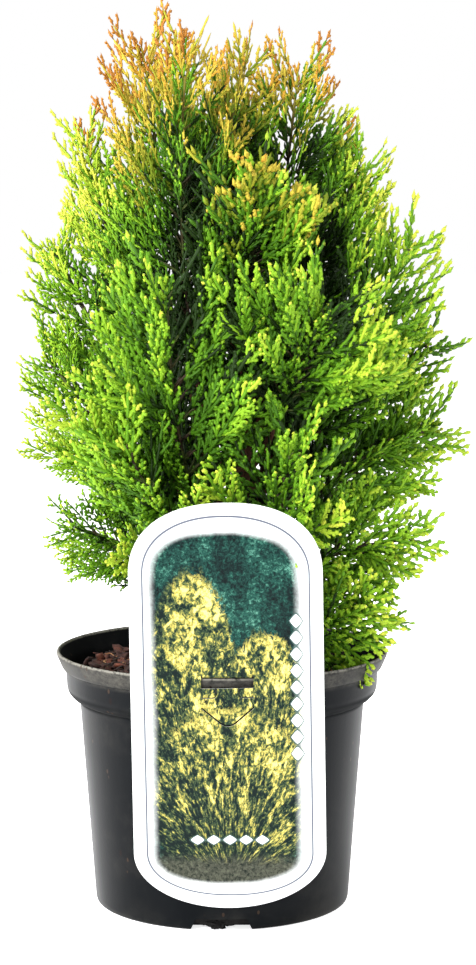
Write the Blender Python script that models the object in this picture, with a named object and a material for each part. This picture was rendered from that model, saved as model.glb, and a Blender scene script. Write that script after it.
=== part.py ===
"""A young oriental thuja in a nursery pot: pot, compost, hanging label, trunk, boughs and foliage.

Units are metres and +Z is up. The origin is the centre of the pot's underside. The label hangs on
the -Y side, which is the front. Every bough and every mass of foliage is an object of its own.
"""

import math
import random
from collections import namedtuple

import bmesh
import bpy
from mathutils import Matrix, Vector
from mathutils.bvhtree import BVHTree

MM = 0.001
CLEARANCE = 0.3 * MM  # the gap left between pieces that touch
WELD = 0.001 * MM
UP = Vector((0, 0, 1))

# Pot, as radii and heights
POT_SEGMENTS = 40
POT_HEIGHT = 100 * MM
FOOT_RADIUS = 50 * MM
WALL_TOP_RADIUS = 55.9 * MM
WALL_TOP_HEIGHT = 80.6 * MM
COLLAR_RADIUS = 61 * MM
COLLAR_LOW = 85.4 * MM
LIP_LOW = 93.2 * MM
LIP_RADIUS = 65 * MM
POT_WALL = 1.2 * MM
POT_FLOOR = 2 * MM
NOTCH_COUNT = 3
NOTCH_HEIGHT = 4.7 * MM
NOTCH_WIDTH_LOW = 24 * MM
NOTCH_WIDTH_HIGH = 19 * MM
NOTCH_DEPTH = 2.6 * MM

# Compost
SOIL_EDGE = 90 * MM
SOIL_TOP = 93.5 * MM
SOIL_CROWN = 1.5 * MM

# Label
LABEL_WIDTH = 71.4 * MM
LABEL_LOW = 13.7 * MM
LABEL_HIGH = 165.4 * MM
LABEL_THICK = 0.6 * MM
LABEL_CENTRE_X = 2.3 * MM
LABEL_LEAN = math.radians(0.95)  # it hangs a little askew, its head to the left
HEAD_RISE = 26.8 * MM
HEAD_POWER = 2.3
TAIL_RISE = 21.3 * MM
TAIL_POWER = 2.0
SLOT_WIDTH = 19.4 * MM
SLOT_HIGH = 101.3 * MM
SLOT_LOW = 96.5 * MM
NECK_WIDTH = 8.5 * MM
NECK_LOW = 93 * MM
NECK_ROUNDING = 0.8 * MM
NECK_CUT = 0.4 * MM
TONGUE_SIDE_LOW = 89.3 * MM
TONGUE_TIP = 82.2 * MM
TONGUE_ROUNDING = 2.2 * MM
TONGUE_CUT = 0.6 * MM
HOOK_DROP = 4 * MM
HOOK_REACH = 6.2 * MM

# Trunk: centre line from the compost to the tip, and its radius at each point
TRUNK_SIDES = 8
TRUNK_FOOT = SOIL_TOP + SOIL_CROWN + CLEARANCE
TRUNK_LINE = [
    (Vector((3.0, 2.0, 0)) * MM + UP * TRUNK_FOOT, 7.4 * MM),
    (Vector((3.1, 1.8, 98.5)) * MM, 5.6 * MM),
    (Vector((3.6, 1.2, 105)) * MM, 4.6 * MM),
    (Vector((5.0, -1.0, 125)) * MM, 3.9 * MM),
    (Vector((8.0, -4.0, 165)) * MM, 2.9 * MM),
    (Vector((11.0, -10.0, 205)) * MM, 2.1 * MM),
    (Vector((10.0, -16.0, 238)) * MM, 1.5 * MM),
]

BOUGH_SIDES = 5
BOUGH_RISE = 0.75  # slope at which a bough leaves the trunk
BOUGH_STEPS = 3
STEM_SIDES = 4
STEM_STEPS = 3
STEM_TIP = 0.6 * MM
BLADE_THICK = 1.4 * MM
STALK_WIDTH = 1.8 * MM
SPRAY_FOOT = 0.08  # share of a spray's length below its first tooth
SPRAY_HALF = 0.35  # half width of a spray as a share of its length
TOOTH_SWEEP = 1.35  # how far a tooth's tip lies ahead of its foot, in steps between teeth
LONG_SPRAY = 31 * MM
LATERALS = 6
GOLD_ABOVE = 290 * MM
SEED = 7
SHRINKS = (1.0, 0.86, 0.72, 0.58, 0.44)  # tried in turn until a spray is clear of its neighbours

Mass = namedtuple("Mass", "name leaves foot tip width turn fullness")


def mass(name, leaves, foot, tip, width, turn, fullness):
    """leaves: height at which its bough leaves the trunk. foot and tip: ends of its stem. width: the
    longest side spray. turn: the heading that its main fan faces, in degrees from the front.
    fullness: how far its sprays turn out of that fan, in degrees. Lengths are in millimetres."""
    return Mass(
        name, leaves and leaves * MM, Vector(foot) * MM, Vector(tip) * MM, width * MM, turn, fullness
    )


MASSES = [
    mass("front_leader", None, (10, -16, 238), (13, -42, 291), 43, 0, 30),
    mass("crown_front", 165, (-9, -9, 208), (-12, -15, 340), 46, 15, 50),
    mass("crown_left", 150, (-12, 8, 205), (-31, 4, 338), 52, 10, 50),
    mass("crown_right", 178, (19, 5, 225), (30, 6, 328), 48, -10, 50),
    mass("crown_mid", 207, (1, -5, 235), (11, -2, 333), 42, 50, 65),
    mass("crown_back", 186, (7, 16, 222), (-4, 36, 320), 50, 60, 70),
    mass("shoulder_left", 132, (-22, 4, 180), (-55, 6, 307), 41, 0, 45),
    mass("mid_left", 126, (-24, 10, 166), (-67, 10, 260), 40, 10, 50),
    mass("shoulder_right", 163, (27, 0, 212), (56, 8, 292), 41, -18, 50),
    mass("wing_right", 142, (30, -6, 178), (76, -10, 263), 42, 0, 48),
    mass("mid_right", 130, (31, 8, 163), (86, 10, 222), 42, -10, 50),
    mass("fan_left", 120, (-20, 2, 148), (-71, -3, 216), 45, 0, 55),
    mass("skirt_left", 105, (-18, 4, 123), (-61, -4, 149), 37, 0, 55),
    mass("fan_right", 117, (26, 0, 143), (84, 0, 188), 47, 0, 55),
    mass("low_right", 107, (22, -13, 124), (80, -18, 146), 40, 0, 55),
    mass("skirt_right", 101, (22, -15, 109), (60, -37, 121), 36, 10, 30),
    mass("heart_left", 128, (-8, -17, 152), (-20, -44, 248), 52, 10, 60),
    mass("front_right", 172, (21, -18, 192), (40, -42, 236), 50, 0, 60),
    mass("low_front_left", 112, (-8, -17, 128), (-38, -46, 188), 50, 20, 65),
    mass("low_front_right", 114, (14, -22, 132), (27, -45, 190), 46, -20, 65),
    mass("back_left", 136, (-12, 19, 165), (-46, 48, 270), 52, -60, 65),
    mass("back_right", 147, (20, 17, 172), (50, 48, 260), 52, 60, 65),
    mass("back_mid", 126, (5, 24, 152), (2, 66, 242), 52, 10, 75),
    mass("back_fan_left", 109, (-13, 18, 127), (-56, 50, 176), 50, -45, 60),
    mass("back_fan_right", 103, (18, 18, 120), (60, 48, 172), 50, 45, 60),
    mass("skirt_back", 97, (0, 14, 116), (-6, 58, 142), 44, 0, 70),
]


def material(name, colour, roughness):
    made = bpy.data.materials.new(name)
    made.use_nodes = True
    shader = made.node_tree.nodes["Principled BSDF"]
    shader.inputs["Base Color"].default_value = (*colour, 1)
    shader.inputs["Roughness"].default_value = roughness
    shader.inputs["Metallic"].default_value = 0
    made.diffuse_color = (*colour, 1)
    return made


def add_object(name, bm, finish):
    """Turns a bmesh into a named object in the scene."""
    bmesh.ops.recalc_face_normals(bm, faces=bm.faces)
    mesh = bpy.data.meshes.new(name)
    bm.to_mesh(mesh)
    bm.free()
    mesh.materials.append(finish)
    made = bpy.data.objects.new(name, mesh)
    bpy.context.scene.collection.objects.link(made)
    return made


def shade_round(made, sharp_degrees=35):
    made.data.shade_smooth()
    made.data.set_sharp_from_angle(angle=math.radians(sharp_degrees))


def lathe(name, profile, finish):
    """A closed round body about +Z. The profile of (radius, height) runs from pole to pole."""
    bm = bmesh.new()
    points = [bm.verts.new((radius, 0, height)) for radius, height in profile]
    lines = [bm.edges.new(ends) for ends in zip(points, points[1:])]
    bmesh.ops.spin(
        bm, geom=points + lines, cent=(0, 0, 0), axis=UP, angle=math.tau, steps=POT_SEGMENTS
    )
    bmesh.ops.remove_doubles(bm, verts=bm.verts, dist=WELD)
    return add_object(name, bm, finish)


def extrude_outline(bm, front, shift):
    """A closed plate: the front outline is a loop of points, and shift carries it to the back."""
    face = bm.faces.new([bm.verts.new(point) for point in front])
    made = bmesh.ops.extrude_face_region(bm, geom=[face])["geom"]
    moved = [item for item in made if isinstance(item, bmesh.types.BMVert)]
    bmesh.ops.translate(bm, verts=moved, vec=shift)
    if not [item for item in bm.faces if item == face]:
        raise ValueError("the outline's own face was lost")


def add_limb(bm, line, radii, sides, foot_faces=None):
    """A tapering limb with flat ends along a line of points. Its foot can face a given way."""
    rings = []
    for index, (point, radius) in enumerate(zip(line, radii)):
        ahead = line[min(index + 1, len(line) - 1)] - line[max(index - 1, 0)]
        if foot_faces and index == 0:
            ahead = foot_faces
        side = ahead.cross(Vector((0.31, 0.95, 0.05))).normalized()
        other = ahead.cross(side).normalized()
        ring = []
        for corner in range(sides):
            angle = math.tau * corner / sides
            offset = side * math.cos(angle) + other * math.sin(angle)
            ring.append(bm.verts.new(point + offset * radius))
        rings.append(ring)
    for low, high in zip(rings, rings[1:]):
        for corner in range(sides):
            following = (corner + 1) % sides
            bm.faces.new((low[corner], low[following], high[following], high[corner]))
    bm.faces.new(rings[0][::-1])
    bm.faces.new(rings[-1])


def cut(target, cutter):
    """Takes cutter out of target and removes it."""
    change = target.modifiers.new("cut", "BOOLEAN")
    change.operation = "DIFFERENCE"
    change.object = cutter
    apply_modifier(target, change)
    bpy.data.objects.remove(cutter)


def apply_modifier(target, change):
    bpy.context.view_layer.objects.active = target
    bpy.ops.object.modifier_apply(modifier=change.name)


# Pot


def pot_profile():
    """Outer side from the underside's centre up to the lip, then the inner side down again."""
    outer = [
        (0, 0),
        (FOOT_RADIUS - 2.5 * MM, 0),
        (FOOT_RADIUS - 0.6 * MM, 0.8 * MM),
        (FOOT_RADIUS, 2.6 * MM),
        (WALL_TOP_RADIUS, WALL_TOP_HEIGHT),
        (WALL_TOP_RADIUS + 2.6 * MM, WALL_TOP_HEIGHT + 1.2 * MM),
        (COLLAR_RADIUS - 0.5 * MM, COLLAR_LOW - 1.4 * MM),
        (COLLAR_RADIUS, COLLAR_LOW + 0.8 * MM),
        (COLLAR_RADIUS + 0.4 * MM, LIP_LOW),
        (COLLAR_RADIUS + 1.4 * MM, LIP_LOW + 0.3 * MM),
        (LIP_RADIUS, POT_HEIGHT - 1.6 * MM),
        (LIP_RADIUS - 0.3 * MM, POT_HEIGHT),
    ]
    inner = [
        (LIP_RADIUS - POT_WALL, POT_HEIGHT),
        (COLLAR_RADIUS - 0.2 * MM, LIP_LOW + 1.4 * MM),
        (COLLAR_RADIUS - POT_WALL, COLLAR_LOW + 0.9 * MM),
        (WALL_TOP_RADIUS - POT_WALL, WALL_TOP_HEIGHT + 0.8 * MM),
        (FOOT_RADIUS - POT_WALL, POT_FLOOR),
        (0, POT_FLOOR),
    ]
    return outer + inner


def notch_cutter(heading, finish):
    """A wedge-sided block that opens the foot of the pot at a heading in degrees."""
    bm = bmesh.new()
    below = 2 * MM
    start = FOOT_RADIUS + 4 * MM
    outline = [
        Vector((-NOTCH_WIDTH_LOW / 2, -start, -below)),
        Vector((NOTCH_WIDTH_LOW / 2, -start, -below)),
        Vector((NOTCH_WIDTH_LOW / 2, -start, 0)),
        Vector((NOTCH_WIDTH_HIGH / 2, -start, NOTCH_HEIGHT)),
        Vector((-NOTCH_WIDTH_HIGH / 2, -start, NOTCH_HEIGHT)),
        Vector((-NOTCH_WIDTH_LOW / 2, -start, 0)),
    ]
    extrude_outline(bm, outline, Vector((0, start - FOOT_RADIUS + NOTCH_DEPTH, 0)))
    bmesh.ops.rotate(
        bm, verts=bm.verts, cent=(0, 0, 0), matrix=Matrix.Rotation(math.radians(heading), 3, "Z")
    )
    return add_object("notch_cutter", bm, finish)


def make_pot(finish):
    pot = lathe("pot", pot_profile(), finish)
    for number in range(NOTCH_COUNT):
        cut(pot, notch_cutter(360 / NOTCH_COUNT * number, finish))
    shade_round(pot)


def make_compost(finish):
    """The compost fills the pot, a clearance inside its wall, and is a little higher in the middle."""
    gap = CLEARANCE * 1.4 + POT_WALL
    profile = [
        (0, POT_FLOOR + CLEARANCE),
        (FOOT_RADIUS - gap - 0.4 * MM, POT_FLOOR + CLEARANCE),
        (WALL_TOP_RADIUS - gap - 0.2 * MM, WALL_TOP_HEIGHT + 0.6 * MM),
        (COLLAR_RADIUS - gap - 0.6 * MM, COLLAR_LOW + 1.2 * MM),
        (COLLAR_RADIUS - gap - 0.3 * MM, SOIL_EDGE),
        (COLLAR_RADIUS * 0.86, SOIL_TOP),
        (TRUNK_LINE[0][1] + 8 * MM, SOIL_TOP + SOIL_CROWN),
        (0, SOIL_TOP + SOIL_CROWN),
    ]
    shade_round(lathe("compost", profile, finish))


# Label


def label_point(across, height, depth):
    """A point of the label, leaned about its slot so that it hangs slightly askew."""
    x = LABEL_CENTRE_X + across * math.cos(LABEL_LEAN)
    x -= (height - SLOT_HIGH) * math.sin(LABEL_LEAN)
    z = SLOT_HIGH + (height - SLOT_HIGH) * math.cos(LABEL_LEAN) + across * math.sin(LABEL_LEAN)
    return Vector((x, depth, z))


def rounded_end(level, rise, power, steps):
    """Half outline from the right side over an end to the left side, as a superellipse."""
    half = LABEL_WIDTH / 2
    points = []
    for step in range(steps + 1):
        angle = math.pi * step / steps
        across = math.copysign(abs(math.cos(angle)) ** (2 / power), math.cos(angle))
        points.append((half * across, level + rise * math.sin(angle) ** (2 / power)))
    return points


def plate(name, outline, front, back, finish):
    bm = bmesh.new()
    points = [label_point(across, height, front) for across, height in outline]
    extrude_outline(bm, points, Vector((0, back - front, 0)))
    return add_object(name, bm, finish)


def slit_outline(line, wide):
    """The outline of a cut of one width along a line."""
    sides = ([], [])
    for index, point in enumerate(line):
        run = Vector(line[min(index + 1, len(line) - 1)]) - Vector(line[max(index - 1, 0)])
        across = Vector((-run.y, run.x)).normalized() * wide / 2
        sides[0].append(tuple(Vector(point) + across))
        sides[1].append(tuple(Vector(point) - across))
    return sides[0] + sides[1][::-1]


def neck_slit(side):
    """The cut down one side of the tongue's neck and out along its shoulder."""
    neck, half = NECK_WIDTH / 2, SLOT_WIDTH / 2
    line = [
        (neck, SLOT_LOW + NECK_CUT),
        (neck, NECK_LOW + NECK_ROUNDING),
        (neck + NECK_ROUNDING, NECK_LOW),
        (half, NECK_LOW),
    ]
    return slit_outline([(across * side, height) for across, height in line], NECK_CUT)


def tongue_slit():
    """The cut along the tongue's pointed foot."""
    half, low = SLOT_WIDTH / 2, TONGUE_TIP + TONGUE_ROUNDING / 3
    right = [(TONGUE_ROUNDING, low + TONGUE_ROUNDING / 3), (half, TONGUE_SIDE_LOW)]
    left = [(-across, height) for across, height in reversed(right)]
    return slit_outline(left + [(0, TONGUE_TIP)] + right, TONGUE_CUT)


def make_label(finish):
    """A thin plate in front of the lip. The flap cut from its slot folds back over the lip."""
    back = -(LIP_RADIUS + CLEARANCE)
    front = back - LABEL_THICK
    head = rounded_end(LABEL_HIGH - HEAD_RISE, HEAD_RISE, HEAD_POWER, 20)
    tail = rounded_end(-(LABEL_LOW + TAIL_RISE), TAIL_RISE, TAIL_POWER, 18)
    outline = head + [(-across, -height) for across, height in tail]
    label = plate("label", outline, front, back, finish)

    reach = 3 * MM
    half = SLOT_WIDTH / 2
    slot = [(-half, SLOT_HIGH), (-half, SLOT_LOW), (half, SLOT_LOW), (half, SLOT_HIGH)]
    for opening in (slot, neck_slit(-1), neck_slit(1), tongue_slit()):
        cut(label, plate("cutter", opening, front - reach, back + reach, finish))

    hook_top = SLOT_HIGH + 0.4 * MM
    lip_top = POT_HEIGHT + CLEARANCE
    hook_side = [
        (front + LABEL_THICK / 3, hook_top),
        (front + LABEL_THICK / 3, SLOT_HIGH - 0.2 * MM),
        (back + 0.6 * MM, lip_top + 0.1 * MM),
        (back + HOOK_REACH - LABEL_THICK, lip_top),
        (back + HOOK_REACH - LABEL_THICK, lip_top - HOOK_DROP),
        (back + HOOK_REACH, lip_top - HOOK_DROP),
        (back + HOOK_REACH, lip_top + LABEL_THICK),
        (back + 0.8 * MM, lip_top + LABEL_THICK + 0.1 * MM),
    ]
    bm = bmesh.new()
    inset = 0.4 * MM
    start = Vector((LABEL_CENTRE_X - half + inset, 0, 0))
    side = [start + Vector((0, depth, height)) for depth, height in hook_side]
    extrude_outline(bm, side, Vector((SLOT_WIDTH - 2 * inset, 0, 0)))
    hook = add_object("hook", bm, finish)
    join = label.modifiers.new("hook", "BOOLEAN")
    join.operation = "UNION"
    join.object = hook
    apply_modifier(label, join)
    bpy.data.objects.remove(hook)


# Trunk and boughs


def trunk_at(height):
    """(centre, radius) of the trunk at a height."""
    for (low, low_radius), (high, high_radius) in zip(TRUNK_LINE, TRUNK_LINE[1:]):
        if height <= high.z:
            share = (height - low.z) / (high.z - low.z)
            return low.lerp(high, share), low_radius + (high_radius - low_radius) * share
    return TRUNK_LINE[-1]


def make_trunk(finish):
    bm = bmesh.new()
    points = [point for point, _ in TRUNK_LINE]
    add_limb(bm, points, [radius for _, radius in TRUNK_LINE], TRUNK_SIDES, foot_faces=UP)
    shade_round(add_object("trunk", bm, finish), 60)


def bezier(start, middle, end, share):
    return start.lerp(middle, share).lerp(middle.lerp(end, share), share)


def bough_radii(grown):
    """A bough is thicker the further it carries its foliage."""
    carried = (grown.tip - grown.foot).length
    thick = 1.3 * MM + 0.007 * carried
    return thick, thick * 0.72


def bough_line(grown):
    """The bough's centre line, from the trunk's side to the foot of its foliage."""
    centre, trunk_radius = trunk_at(grown.leaves)
    out = grown.foot - centre
    flat = Vector((out.x, out.y, 0)).normalized()
    start = centre + flat * (trunk_radius + CLEARANCE * 1.5)
    flat_run = Vector((grown.foot.x - start.x, grown.foot.y - start.y, 0)).length
    middle = start + (flat + UP * BOUGH_RISE) * flat_run * 0.6
    return [bezier(start, middle, grown.foot, step / BOUGH_STEPS) for step in range(BOUGH_STEPS + 1)]


def make_bough(grown, finish):
    """A bough, its foot cut upright against the trunk's side."""
    thick, thin = bough_radii(grown)
    line = bough_line(grown)
    radii = [thick + (thin - thick) * step / BOUGH_STEPS for step in range(BOUGH_STEPS + 1)]
    away = line[0] - trunk_at(grown.leaves)[0]
    bm = bmesh.new()
    add_limb(bm, line, radii, BOUGH_SIDES, foot_faces=Vector((away.x, away.y, 0)))
    shade_round(add_object("bough_" + grown.name, bm, finish), 80)


# Foliage


def limb_heading(grown):
    """The way the limb points where the mass grows on from it."""
    line = bough_line(grown) if grown.leaves else [point for point, _ in TRUNK_LINE]
    return (line[-1] - line[-2]).normalized()


def stem_line(grown):
    """The mass's own stem: it carries on from its limb, outwards first and then up."""
    heading = limb_heading(grown)
    start = grown.foot + heading * CLEARANCE * 1.2
    reach = (grown.tip - start).length
    middle = start + heading * reach * 0.45
    return [bezier(start, middle, grown.tip, step / STEM_STEPS) for step in range(STEM_STEPS + 1)]


def along(line, share):
    """(point, direction) at a share of a line of points."""
    place = min(share * (len(line) - 1), len(line) - 1.0001)
    index = int(place)
    point = line[index].lerp(line[index + 1], place - index)
    return point, (line[index + 1] - line[index]).normalized()


def spray_length(grown, share):
    """Side sprays are longest low on the stem and short at its tip."""
    swell = min(1.0, 0.62 + 1.5 * share)
    return grown.width * swell * (1.0 - 0.62 * max(0.0, share - 0.25) / 0.75)


def blade_outline(length):
    """(along, across) points round a spray that points along +X, its teeth swept ahead."""
    teeth = 3 if length > LONG_SPRAY else 2
    step = (1 - SPRAY_FOOT) / (teeth + 0.9)
    side = [(0, STALK_WIDTH / 2)]
    for tooth in range(teeth):
        foot = SPRAY_FOOT + step * tooth
        tip = foot + step * TOOTH_SWEEP
        wide = length * SPRAY_HALF * math.sin(math.pi * (0.22 + 0.6 * tip)) ** 0.8
        side.append((length * tip, wide))
        side.append((length * (foot + step), wide * 0.3 + STALK_WIDTH * 0.3))
    other = [(x, -y) for x, y in reversed(side)]
    return side + [(length, 0)] + other


def add_blade(bm, start, ahead, across, length, grow=0.0):
    """A spray as a toothed plate in the plane of ahead and across. grow thickens it for tests."""
    normal = ahead.cross(across).normalized()
    across = normal.cross(ahead).normalized()
    thick = BLADE_THICK / 2 + grow
    longer = 1 + grow / length
    wider = 1 + grow / (length * SPRAY_HALF)
    front = [
        start + ahead * x * longer + across * y * wider - normal * thick
        for x, y in blade_outline(length)
    ]
    extrude_outline(bm, front, normal * thick * 2)


def fan_side(ahead, turn):
    """The sideways direction in a fan that holds the stem and faces a heading in degrees."""
    heading = math.radians(turn)
    facing = Vector((math.sin(heading), -math.cos(heading), 0))
    return ahead.cross(facing).normalized()


def spray_plan(grown, dice):
    """(root, heading, across, length) of each side spray, from the stem's foot up."""
    line = stem_line(grown)
    plans = []
    for number in range(LATERALS):
        share = 0.04 + 0.88 * number / (LATERALS - 1)
        point, ahead = along(line, share)
        side = 1 if number % 2 else -1
        out = fan_side(ahead, grown.turn + dice.uniform(-1, 1) * grown.fullness) * side
        lean = math.radians(54 - 24 * share + dice.uniform(-6, 6))
        root = point - out * 0.2 * MM
        spray = ahead * math.cos(lean) + out * math.sin(lean)
        length = spray_length(grown, share) * dice.uniform(0.88, 1.08)
        plans.append((root, spray, ahead, length))
    return plans


def stem_bmesh(grown):
    line = stem_line(grown)
    thick = bough_radii(grown)[1] * 0.9
    radii = [thick - (thick - STEM_TIP) * step / STEM_STEPS for step in range(STEM_STEPS + 1)]
    bm = bmesh.new()
    add_limb(bm, line, radii, STEM_SIDES, foot_faces=limb_heading(grown))
    return bm


def tip_spray(grown):
    """The spray that ends the stem, from its last joint to its tip."""
    line = stem_line(grown)
    ahead = line[-1] - line[-2]
    return line[-2], ahead.normalized(), fan_side(ahead, grown.turn), ahead.length


def is_clear(name, spray, taken):
    """Whether a spray, with the clearance round it, misses every piece but those of its own mass."""
    guard = bmesh.new()
    add_blade(guard, *spray, CLEARANCE * 1.5)
    tree = BVHTree.FromBMesh(guard)
    guard.free()
    return not any(owner != name and tree.overlap(other) for owner, other in taken)


def grow_foliage(limbs):
    """(mass, its parts) for every mass. The masses grow a spray at a time, from the stem's foot up,
    and a spray that would touch a limb or another mass is made shorter or left out."""
    dice = random.Random(SEED)
    plans = {grown.name: spray_plan(grown, dice) for grown in MASSES}
    parts = {grown.name: [stem_bmesh(grown)] for grown in MASSES}
    taken = [(None, tree) for tree in limbs]
    taken += [(name, BVHTree.FromBMesh(made[0])) for name, made in parts.items()]
    for turn in range(LATERALS + 1):
        for grown in MASSES:
            if turn:
                root, heading, across, length = plans[grown.name][turn - 1]
            else:
                root, heading, across, length = tip_spray(grown)
            for shrink in SHRINKS:
                spray = (root, heading, across, length * shrink)
                if is_clear(grown.name, spray, taken):
                    bm = bmesh.new()
                    add_blade(bm, *spray)
                    parts[grown.name].append(bm)
                    taken.append((grown.name, BVHTree.FromBMesh(bm)))
                    break
    return [(grown, parts[grown.name]) for grown in MASSES]


def fill_hollows(made):
    """Fills any hollow that crossing sprays close off between them."""
    bm = bmesh.new()
    bm.from_mesh(made.data)
    left = set(bm.faces)
    hollows = []
    while left:
        shell = [left.pop()]
        for face in shell:
            for edge in face.edges:
                for other in edge.link_faces:
                    if other in left:
                        left.remove(other)
                        shell.append(other)
        if sum(face.calc_center_median().dot(face.normal) * face.calc_area() for face in shell) < 0:
            hollows += shell
    bmesh.ops.delete(bm, geom=hollows, context="FACES")
    bm.to_mesh(made.data)
    bm.free()


def join_foliage(name, parts, finish):
    """Joins the parts of one mass into one solid, with one Boolean union on a collection."""
    pieces = [add_object(name, bm, finish) for bm in parts]
    base, others = pieces[0], pieces[1:]
    group = bpy.data.collections.new(name)
    for piece in others:
        bpy.context.scene.collection.objects.unlink(piece)
        group.objects.link(piece)
    bpy.context.scene.collection.children.link(group)
    join = base.modifiers.new("join", "BOOLEAN")
    join.operation = "UNION"
    join.operand_type = "COLLECTION"
    join.collection = group
    join.solver = "MANIFOLD"
    apply_modifier(base, join)
    for piece in others:
        bpy.data.objects.remove(piece)
    bpy.data.collections.remove(group)
    fill_hollows(base)
    base.name = name
    base.data.shade_flat()
    return base


def object_tree(made):
    bm = bmesh.new()
    bm.from_mesh(made.data)
    tree = BVHTree.FromBMesh(bm)
    bm.free()
    return tree


def main():
    for old in list(bpy.data.objects):
        bpy.data.objects.remove(old)
    plastic = material("pot_plastic", (0.025, 0.026, 0.028), 0.5)
    peat = material("compost", (0.06, 0.025, 0.012), 0.95)
    card = material("label_plastic", (0.86, 0.87, 0.86), 0.3)
    bark = material("bark", (0.16, 0.07, 0.035), 0.85)
    green = material("foliage", (0.14, 0.3, 0.035), 0.6)
    gold = material("foliage_gold", (0.5, 0.36, 0.05), 0.6)

    make_pot(plastic)
    make_compost(peat)
    make_label(card)
    make_trunk(bark)
    for grown in MASSES:
        if grown.leaves is not None:
            make_bough(grown, bark)
    limbs = [object_tree(made) for made in bpy.data.objects]
    for grown, parts in grow_foliage(limbs):
        finish = gold if grown.tip.z > GOLD_ABOVE else green
        join_foliage("foliage_" + grown.name, parts, finish)


main()
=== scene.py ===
"""The dressed scene: a young oriental thuja in a black nursery pot with a hanging picture label.

Lengths are metres in the part's own frame: +Z up, the label towards -Y. The plant grows here by the
same rule as its solids, and carries on from their sprays to branchlets and to single shoots.
"""

import math
import random
from collections import namedtuple
from functools import cached_property

import bmesh
import bpy
import numpy as np
from mathutils import Matrix, Vector, noise


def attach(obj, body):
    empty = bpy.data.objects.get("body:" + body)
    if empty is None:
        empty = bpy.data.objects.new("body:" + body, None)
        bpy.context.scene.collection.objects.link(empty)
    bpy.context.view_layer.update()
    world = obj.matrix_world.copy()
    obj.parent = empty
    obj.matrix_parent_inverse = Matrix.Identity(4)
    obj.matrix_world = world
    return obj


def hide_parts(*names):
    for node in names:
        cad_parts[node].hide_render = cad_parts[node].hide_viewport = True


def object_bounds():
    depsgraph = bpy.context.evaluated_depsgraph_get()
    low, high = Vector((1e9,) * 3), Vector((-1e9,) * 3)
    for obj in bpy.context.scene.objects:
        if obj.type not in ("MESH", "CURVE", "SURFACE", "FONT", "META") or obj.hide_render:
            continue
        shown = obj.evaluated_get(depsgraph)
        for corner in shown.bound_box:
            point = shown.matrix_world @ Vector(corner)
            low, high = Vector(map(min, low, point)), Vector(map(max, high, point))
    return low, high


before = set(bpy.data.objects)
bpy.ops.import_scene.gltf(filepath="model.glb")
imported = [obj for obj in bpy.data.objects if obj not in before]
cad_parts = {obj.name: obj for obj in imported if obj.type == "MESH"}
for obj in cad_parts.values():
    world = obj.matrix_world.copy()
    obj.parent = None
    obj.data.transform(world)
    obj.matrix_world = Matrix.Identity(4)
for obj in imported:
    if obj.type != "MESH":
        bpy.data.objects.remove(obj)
cad_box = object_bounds()

MM = 0.001
UP = Vector((0, 0, 1))
CLEARANCE = 0.3 * MM

# Camera, fitted to the pot's lip, shoulder and foot
CAMERA_AT = Vector((6.3, -1000, 277.3)) * MM
CAMERA_PITCH = 0.1113
CAMERA_LENS = 36 * 2574.6 / 965

# Pot
POT_SEGMENTS = 144
POT_HEIGHT = 100 * MM
FOOT_RADIUS = 50 * MM
WALL_TOP_RADIUS = 55.9 * MM
WALL_TOP_HEIGHT = 80.6 * MM
COLLAR_RADIUS = 61 * MM
COLLAR_LOW = 85.4 * MM
LIP_LOW = 93.2 * MM
LIP_RADIUS = 65 * MM
POT_WALL = 1.2 * MM
POT_FLOOR = 2 * MM
POT_ROUNDING = 1.6 * MM
NOTCH_COUNT = 3
NOTCH_HEIGHT = 4.7 * MM
NOTCH_WIDTH_LOW = 24 * MM
NOTCH_WIDTH_HIGH = 19 * MM
NOTCH_DEPTH = 9 * MM  # through the wall, and on through the edge of the floor

# Compost
SOIL_EDGE = 90 * MM
SOIL_TOP = 93.5 * MM
SOIL_CROWN = 1.5 * MM
SOIL_SEGMENTS = 160
SOIL_RINGS = 44
TRUNK_CLEARING = 8.5 * MM  # no chips so near the trunk's middle

# Label
LABEL_WIDTH = 71.4 * MM
LABEL_LOW = 13.7 * MM
LABEL_HIGH = 165.4 * MM
LABEL_THICK = 0.6 * MM
LABEL_CENTRE_X = 2.3 * MM
LABEL_LEAN = math.radians(0.95)
HEAD_RISE = 26.8 * MM
HEAD_POWER = 2.3
TAIL_RISE = 21.3 * MM
TAIL_POWER = 2.0
SLOT_WIDTH = 19.4 * MM
SLOT_HIGH = 101.3 * MM
SLOT_LOW = 96.5 * MM
NECK_WIDTH = 8.5 * MM
NECK_LOW = 93 * MM
NECK_CUT = 0.4 * MM
TONGUE_SIDE_LOW = 89.3 * MM
TONGUE_TIP = 82.2 * MM
TONGUE_CUT = 0.6 * MM
HOOK_DROP = 4 * MM
HOOK_REACH = 6.2 * MM
CARD_WHITE = (224, 228, 227)

# Trunk and boughs
TRUNK_FOOT = SOIL_TOP + SOIL_CROWN + CLEARANCE
TRUNK_LINE = [
    (Vector((3.0, 2.0, 0)) * MM + UP * TRUNK_FOOT, 7.4 * MM),
    (Vector((3.1, 1.8, 98.5)) * MM, 5.6 * MM),
    (Vector((3.6, 1.2, 105)) * MM, 4.6 * MM),
    (Vector((5.0, -1.0, 125)) * MM, 3.9 * MM),
    (Vector((8.0, -4.0, 165)) * MM, 2.9 * MM),
    (Vector((11.0, -10.0, 205)) * MM, 2.1 * MM),
    (Vector((10.0, -16.0, 238)) * MM, 1.5 * MM),
]
TRUNK_STEPS = 120
BOUGH_RISE = 0.75
BOUGH_STEPS = 3
STEM_STEPS = 3
LATERALS = 6
SEED = 7

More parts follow.
